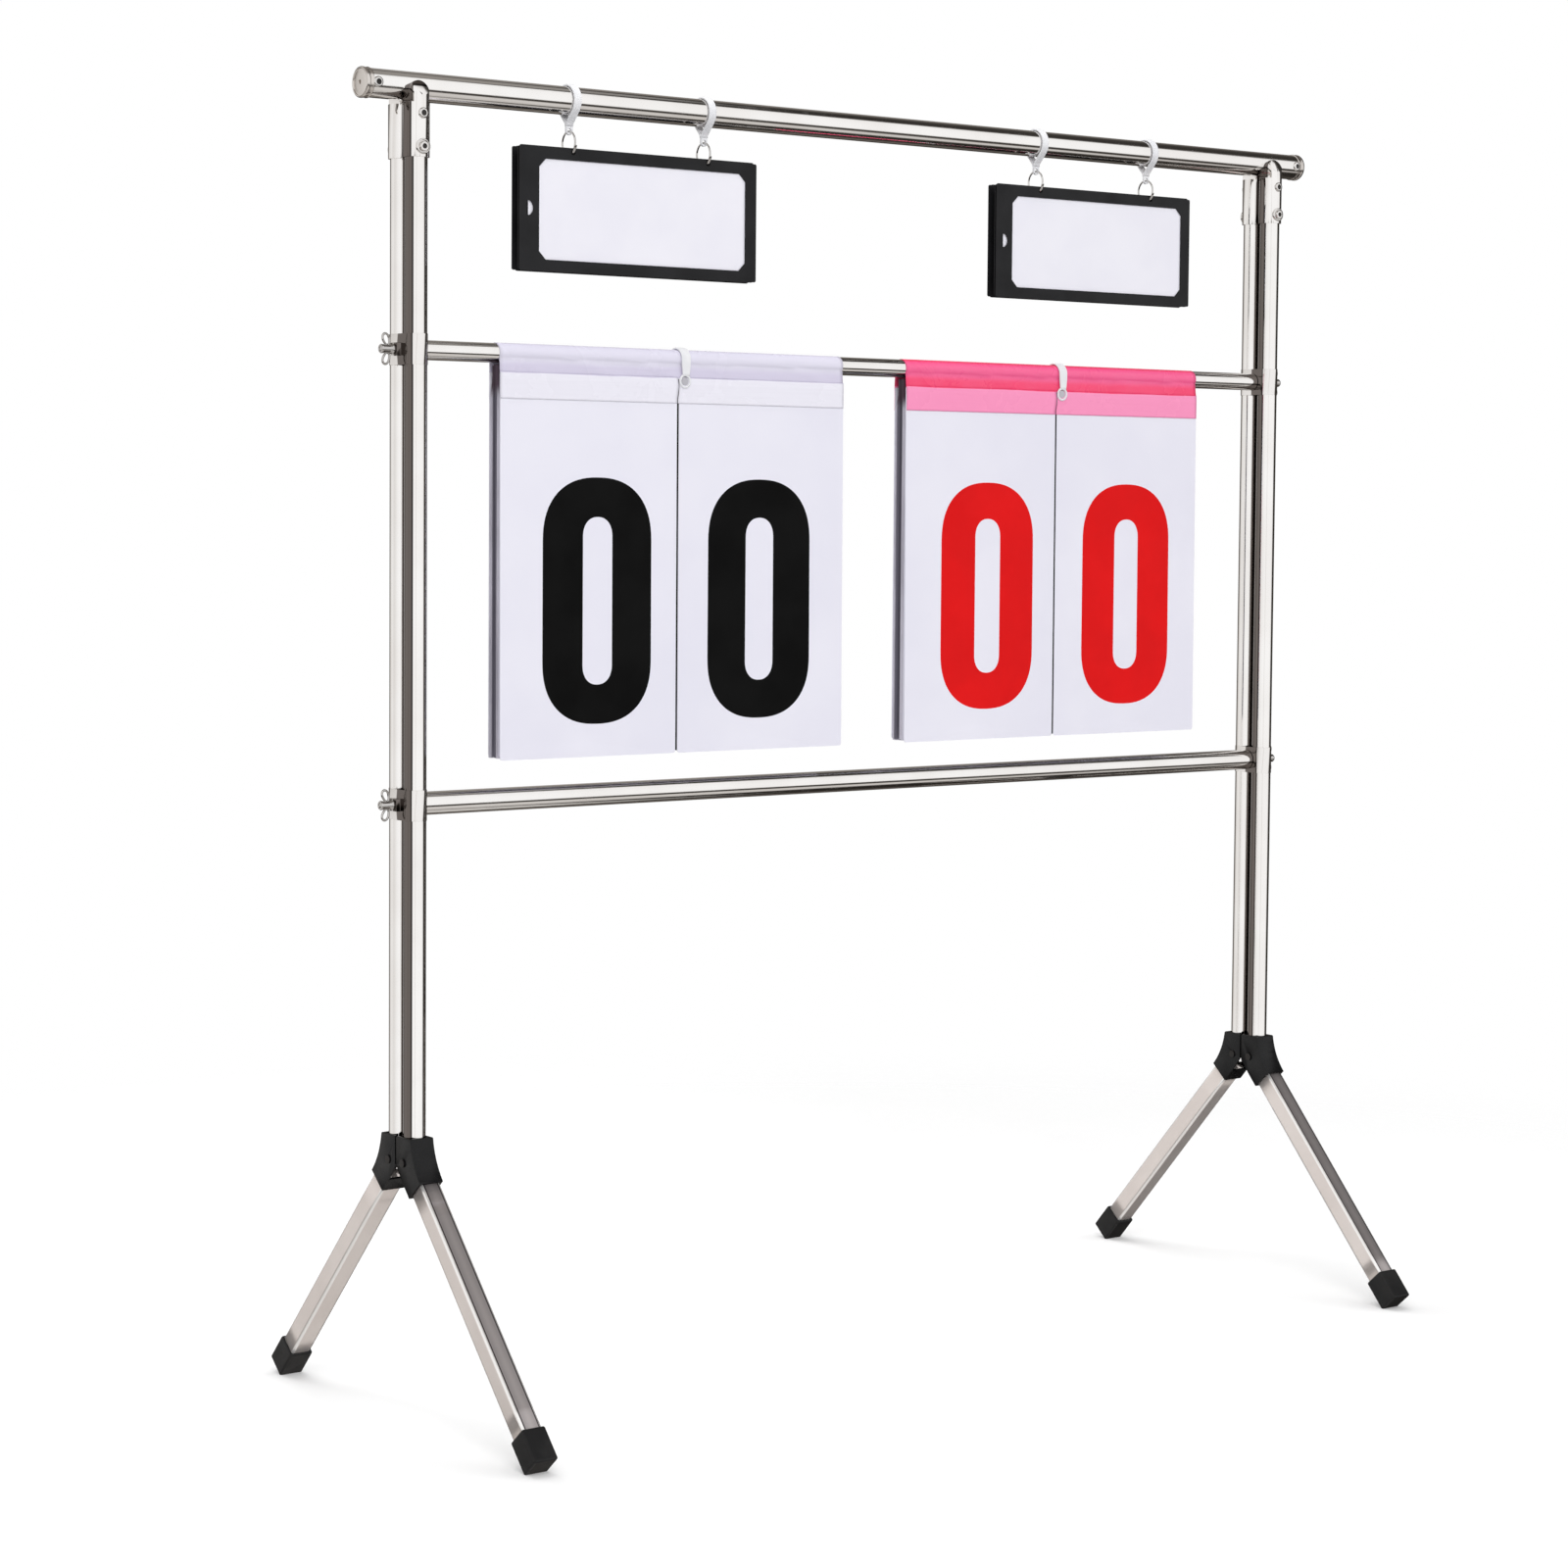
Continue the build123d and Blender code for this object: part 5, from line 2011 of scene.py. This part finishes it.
    def clip(self) -> None:
        """Plastic clip over the header with an eyelet at its front end."""
        x = self.centre + self.clip_shift
        mid = self.clip_radius
        path: list[Point] = [(mid, MID_RAIL_Z - 0.0112), (mid, MID_RAIL_Z - 0.006)]
        path += arc(0.0, MID_RAIL_Z, mid, range(0, 181, 7))
        path += [(-mid, MID_RAIL_Z - d) for d in (0.004, 0.008, 0.012, 0.016, 0.019)]
        shares = [0.86] * 2 + [0.9] * 26 + [0.88, 0.84, 0.78, 0.72, 0.68]
        strap = sweep("strap", path, self.clip_width, self.clip_thick, x + 0.0006, HOOK_PLASTIC, 0.45,
                      widths=shares)
        place = (Matrix.Translation((x - 0.0008, -mid + 0.0011, MID_RAIL_Z - self.eyelet_drop))
                 @ Matrix.Rotation(math.pi / 2, 4, "X"))
        # Grey disc in the eyelet: painted shade of the hole.
        button = lathe("button", EYELET_SHADE_PROFILE, place, EYELET_SHADE_PLASTIC, 36)
        steps = 44
        eyelet = outward(mesh_piece("eyelet", spun(EYELET_PROFILE, place, steps),
                                    skin(len(EYELET_PROFILE), steps, True), [HOOK_PLASTIC]))
        place_piece(joined(self.team + "_retaining_clip", [strap, eyelet, button]), self.team + "_set",
                    "clip_white", self.team + "_clip")

    def build(self) -> None:
        """Make the whole number set."""
        self.piles()
        self.header()
        for hand in Hand:
            self.leaf(hand)
            self.film_strip(hand)
        self.clip()


# ------------------------------------------------------------------ studio
@dataclass
class Studio:
    """Camera, floor, lamps and world."""

    eye: Place = (-2.66547, -3.30995, 1.02544)
    yaw: float = math.radians(37.63)
    pitch: float = math.radians(3.34)
    roll: float = math.radians(0.47)
    lens: float = 80.28
    shift: Point = (-0.0081, -0.0490)
    target: Place = (0.0, 0.0, 0.8)
    floor_radius: float = 2.4
    ambient: float = 0.50
    steep: Point = (0.795, 0.84)
    walls: Stops = (
        (-180, 0.34), (-164, 0.22), (-154, 0.10), (-132, 0.16), (-122, 0.72), (-90, 0.90), (-66, 0.80),
        (-46, 0.86), (-32, 0.95), (-8, 1.0), (7, 0.98), (10, 0.76), (15, 1.0), (70, 1.0), (94, 0.94),
        (100, 0.08), (112, 0.03), (150, 0.05), (164, 0.16), (180, 0.34))
    levels: Stops = (
        (-180, 0.60), (-134, 0.62), (-108, 0.68), (-92, 0.60), (-85, 0.08), (-63, 0.04), (-54, 0.10),
        (-45, 0.90), (-38, 1.0), (138, 1.0), (150, 0.30), (180, 0.24))

    def camera(self) -> None:
        """Set the camera where the view was taken from."""
        ahead = Vector((math.sin(self.yaw) * math.cos(self.pitch), math.cos(self.yaw) * math.cos(self.pitch),
                        -math.sin(self.pitch)))
        right = Vector((math.cos(self.yaw), -math.sin(self.yaw), 0.0))
        up = right.cross(ahead)
        across = right * math.cos(self.roll) + up * math.sin(self.roll)
        upward = up * math.cos(self.roll) - right * math.sin(self.roll)
        data = bpy.data.cameras.new("camera")
        data.sensor_width = 36.0
        data.lens = self.lens
        data.shift_x, data.shift_y = self.shift
        data.clip_start = 0.05
        camera = linked("camera", data)
        turn = Matrix((across, upward, -ahead)).transposed().to_4x4()
        camera.matrix_world = Matrix.Translation(self.eye) @ turn
        bpy.context.scene.camera = camera

    def lamp(self, name: str, place: Place, size: float, power: float) -> None:
        """Soft square lamp that looks at the middle of the stand.

        Args:
            name: Its name.
            place: Where it stands.
            size: Length of its sides.
            power: Watts.
        """
        data = bpy.data.lights.new(name, "AREA")
        data.shape = "SQUARE"
        data.size = size
        data.energy = power
        lamp = linked(name, data)
        lamp.location = place
        lamp.rotation_euler = (Vector(self.target) - Vector(place)).to_track_quat("-Z", "Y").to_euler()
        lamp.visible_glossy = False

    @staticmethod
    def bands(w: Wiring, share: Socket,
              stops: Stops) -> Socket:
        """Warm greys laid out over half turns.

        Args:
            w: The world's wiring.
            share: Place from 0 to 1 that stands for -180 to 180.
            stops: Places from -180 to 180 and the brightness at each.

        Returns:
            The colour's socket.
        """
        node = w.add("ShaderNodeValToRGB", None, i0=share)
        ramp = node.color_ramp
        for number, (place, value) in enumerate(stops):
            spot = place / 360 + 0.5
            stop = ramp.elements[number] if number < 2 else ramp.elements.new(spot)
            stop.position = spot
            warm = 1.0 - 0.10 * (1.0 - value)
            stop.color = (value, value * warm, value * (2 * warm - 1), 1.0)
        return node.outputs[0]

    def world(self) -> None:
        """White for the camera, plain light for the surfaces, and a studio for the metal to mirror."""
        world = bpy.data.worlds.new("studio")
        world.use_nodes = True
        tree = world.node_tree
        tree.nodes.clear()
        w = Wiring(tree)
        way = w.add("ShaderNodeTexCoord").outputs["Generated"]
        parts = w.add("ShaderNodeSeparateXYZ", None, Vector=way)
        ahead = (-math.sin(self.yaw), -math.cos(self.yaw), 0.0)
        right = (math.cos(self.yaw), -math.sin(self.yaw), 0.0)
        fore = w.add("ShaderNodeVectorMath", {"operation": "DOT_PRODUCT"}, i0=way, i1=ahead)
        side = w.add("ShaderNodeVectorMath", {"operation": "DOT_PRODUCT"}, i0=way, i1=right)
        turn = w.maths("ARCTAN2", side.outputs["Value"], fore.outputs["Value"])
        share = w.maths("ADD", w.maths("DIVIDE", turn, 2 * math.pi), 0.5)
        around = self.bands(w, share, self.walls)
        below = self.bands(w, w.maths("ADD", w.maths("MULTIPLY", parts.outputs[2], 0.5), 0.5), self.levels)
        steep = w.ramp(w.maths("ABSOLUTE", parts.outputs[2]), *self.steep)
        level = w.mix(steep, around, WHITE)
        mirror = w.add("ShaderNodeMix", {"data_type": "RGBA", "blend_type": "MULTIPLY"}, i0=1.0, i6=level,
                       i7=below).outputs[2]
        path = w.add("ShaderNodeLightPath")
        shiny = w.maths("MAXIMUM", path.outputs["Is Glossy Ray"], path.outputs["Is Transmission Ray"])
        plain = w.add("ShaderNodeBackground", None, Color=WHITE, Strength=self.ambient)
        seen = w.add("ShaderNodeBackground", None, Color=WHITE, Strength=1.0)
        mirrored = w.add("ShaderNodeBackground", None, Color=mirror, Strength=1.0)
        first = w.add("ShaderNodeMixShader", None, i0=shiny, i1=plain.outputs[0], i2=mirrored.outputs[0])
        both = w.add("ShaderNodeMixShader", None, i0=path.outputs["Is Camera Ray"], i1=first.outputs[0],
                     i2=seen.outputs[0])
        w.add("ShaderNodeOutputWorld", None, Surface=both.outputs[0])
        bpy.context.scene.world = world

    def floor(self) -> None:
        """Round pale floor that fades into the white background and keeps the shadows."""
        steps = 96
        points = [(0.0, 0.0, 0.0)] + [(self.floor_radius * math.cos(2 * math.pi * k / steps),
                                       self.floor_radius * math.sin(2 * math.pi * k / steps), 0.0)
                                      for k in range(steps)]
        faces = [(0, 1 + k, 1 + (k + 1) % steps) for k in range(steps)]
        floor = mesh_piece("studio_floor", points, faces, [FloorFinish()], smooth=False)
        floor.visible_glossy = False
        floor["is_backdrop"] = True

    def build(self) -> None:
        """Set up the whole studio."""
        self.camera()
        self.world()
        self.floor()
        self.lamp("key", (-2.2, -3.2, 3.4), 2.6, 92.0)
        self.lamp("fill", (3.0, -2.6, 2.4), 2.6, 38.0)
        self.lamp("top", (0.0, 0.6, 3.8), 3.0, 55.0)
        self.lamp("back", (-0.6, 3.4, 2.6), 2.8, 50.0)
        bpy.context.scene.view_settings.view_transform = "Standard"


def plain(box: object) -> list:
    """Box of the object as plain lists.

    Args:
        box: Lowest and highest corner.

    Returns:
        The two corners as lists.
    """
    return [[float(v) for v in corner] for corner in box]


def main() -> None:
    """Build the studio and every part of the scoreboard in order."""
    logging.basicConfig(level=logging.INFO, format="%(name)s: %(message)s")
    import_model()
    cad_box = plain(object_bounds())
    Studio().build()
    Stand().build()
    for rail, height in (("mid", MID_RAIL_Z), ("lower", LOWER_RAIL_Z)):
        CrossRailClamps(rail, height).build()
    for hand in Hand:
        NameHolder(hand, hand.value * 0.351).build()
    NumberSet("black", -0.300, BLACK_INK, LILAC_FILM).build()
    NumberSet("red", 0.285, RED_INK, PINK_FILM, numeral_shift=(0.0114, 0.0), seed=8).build()
    {"cad": cad_box, "visual": plain(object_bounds())}


if __name__ == "__main__":
    main()
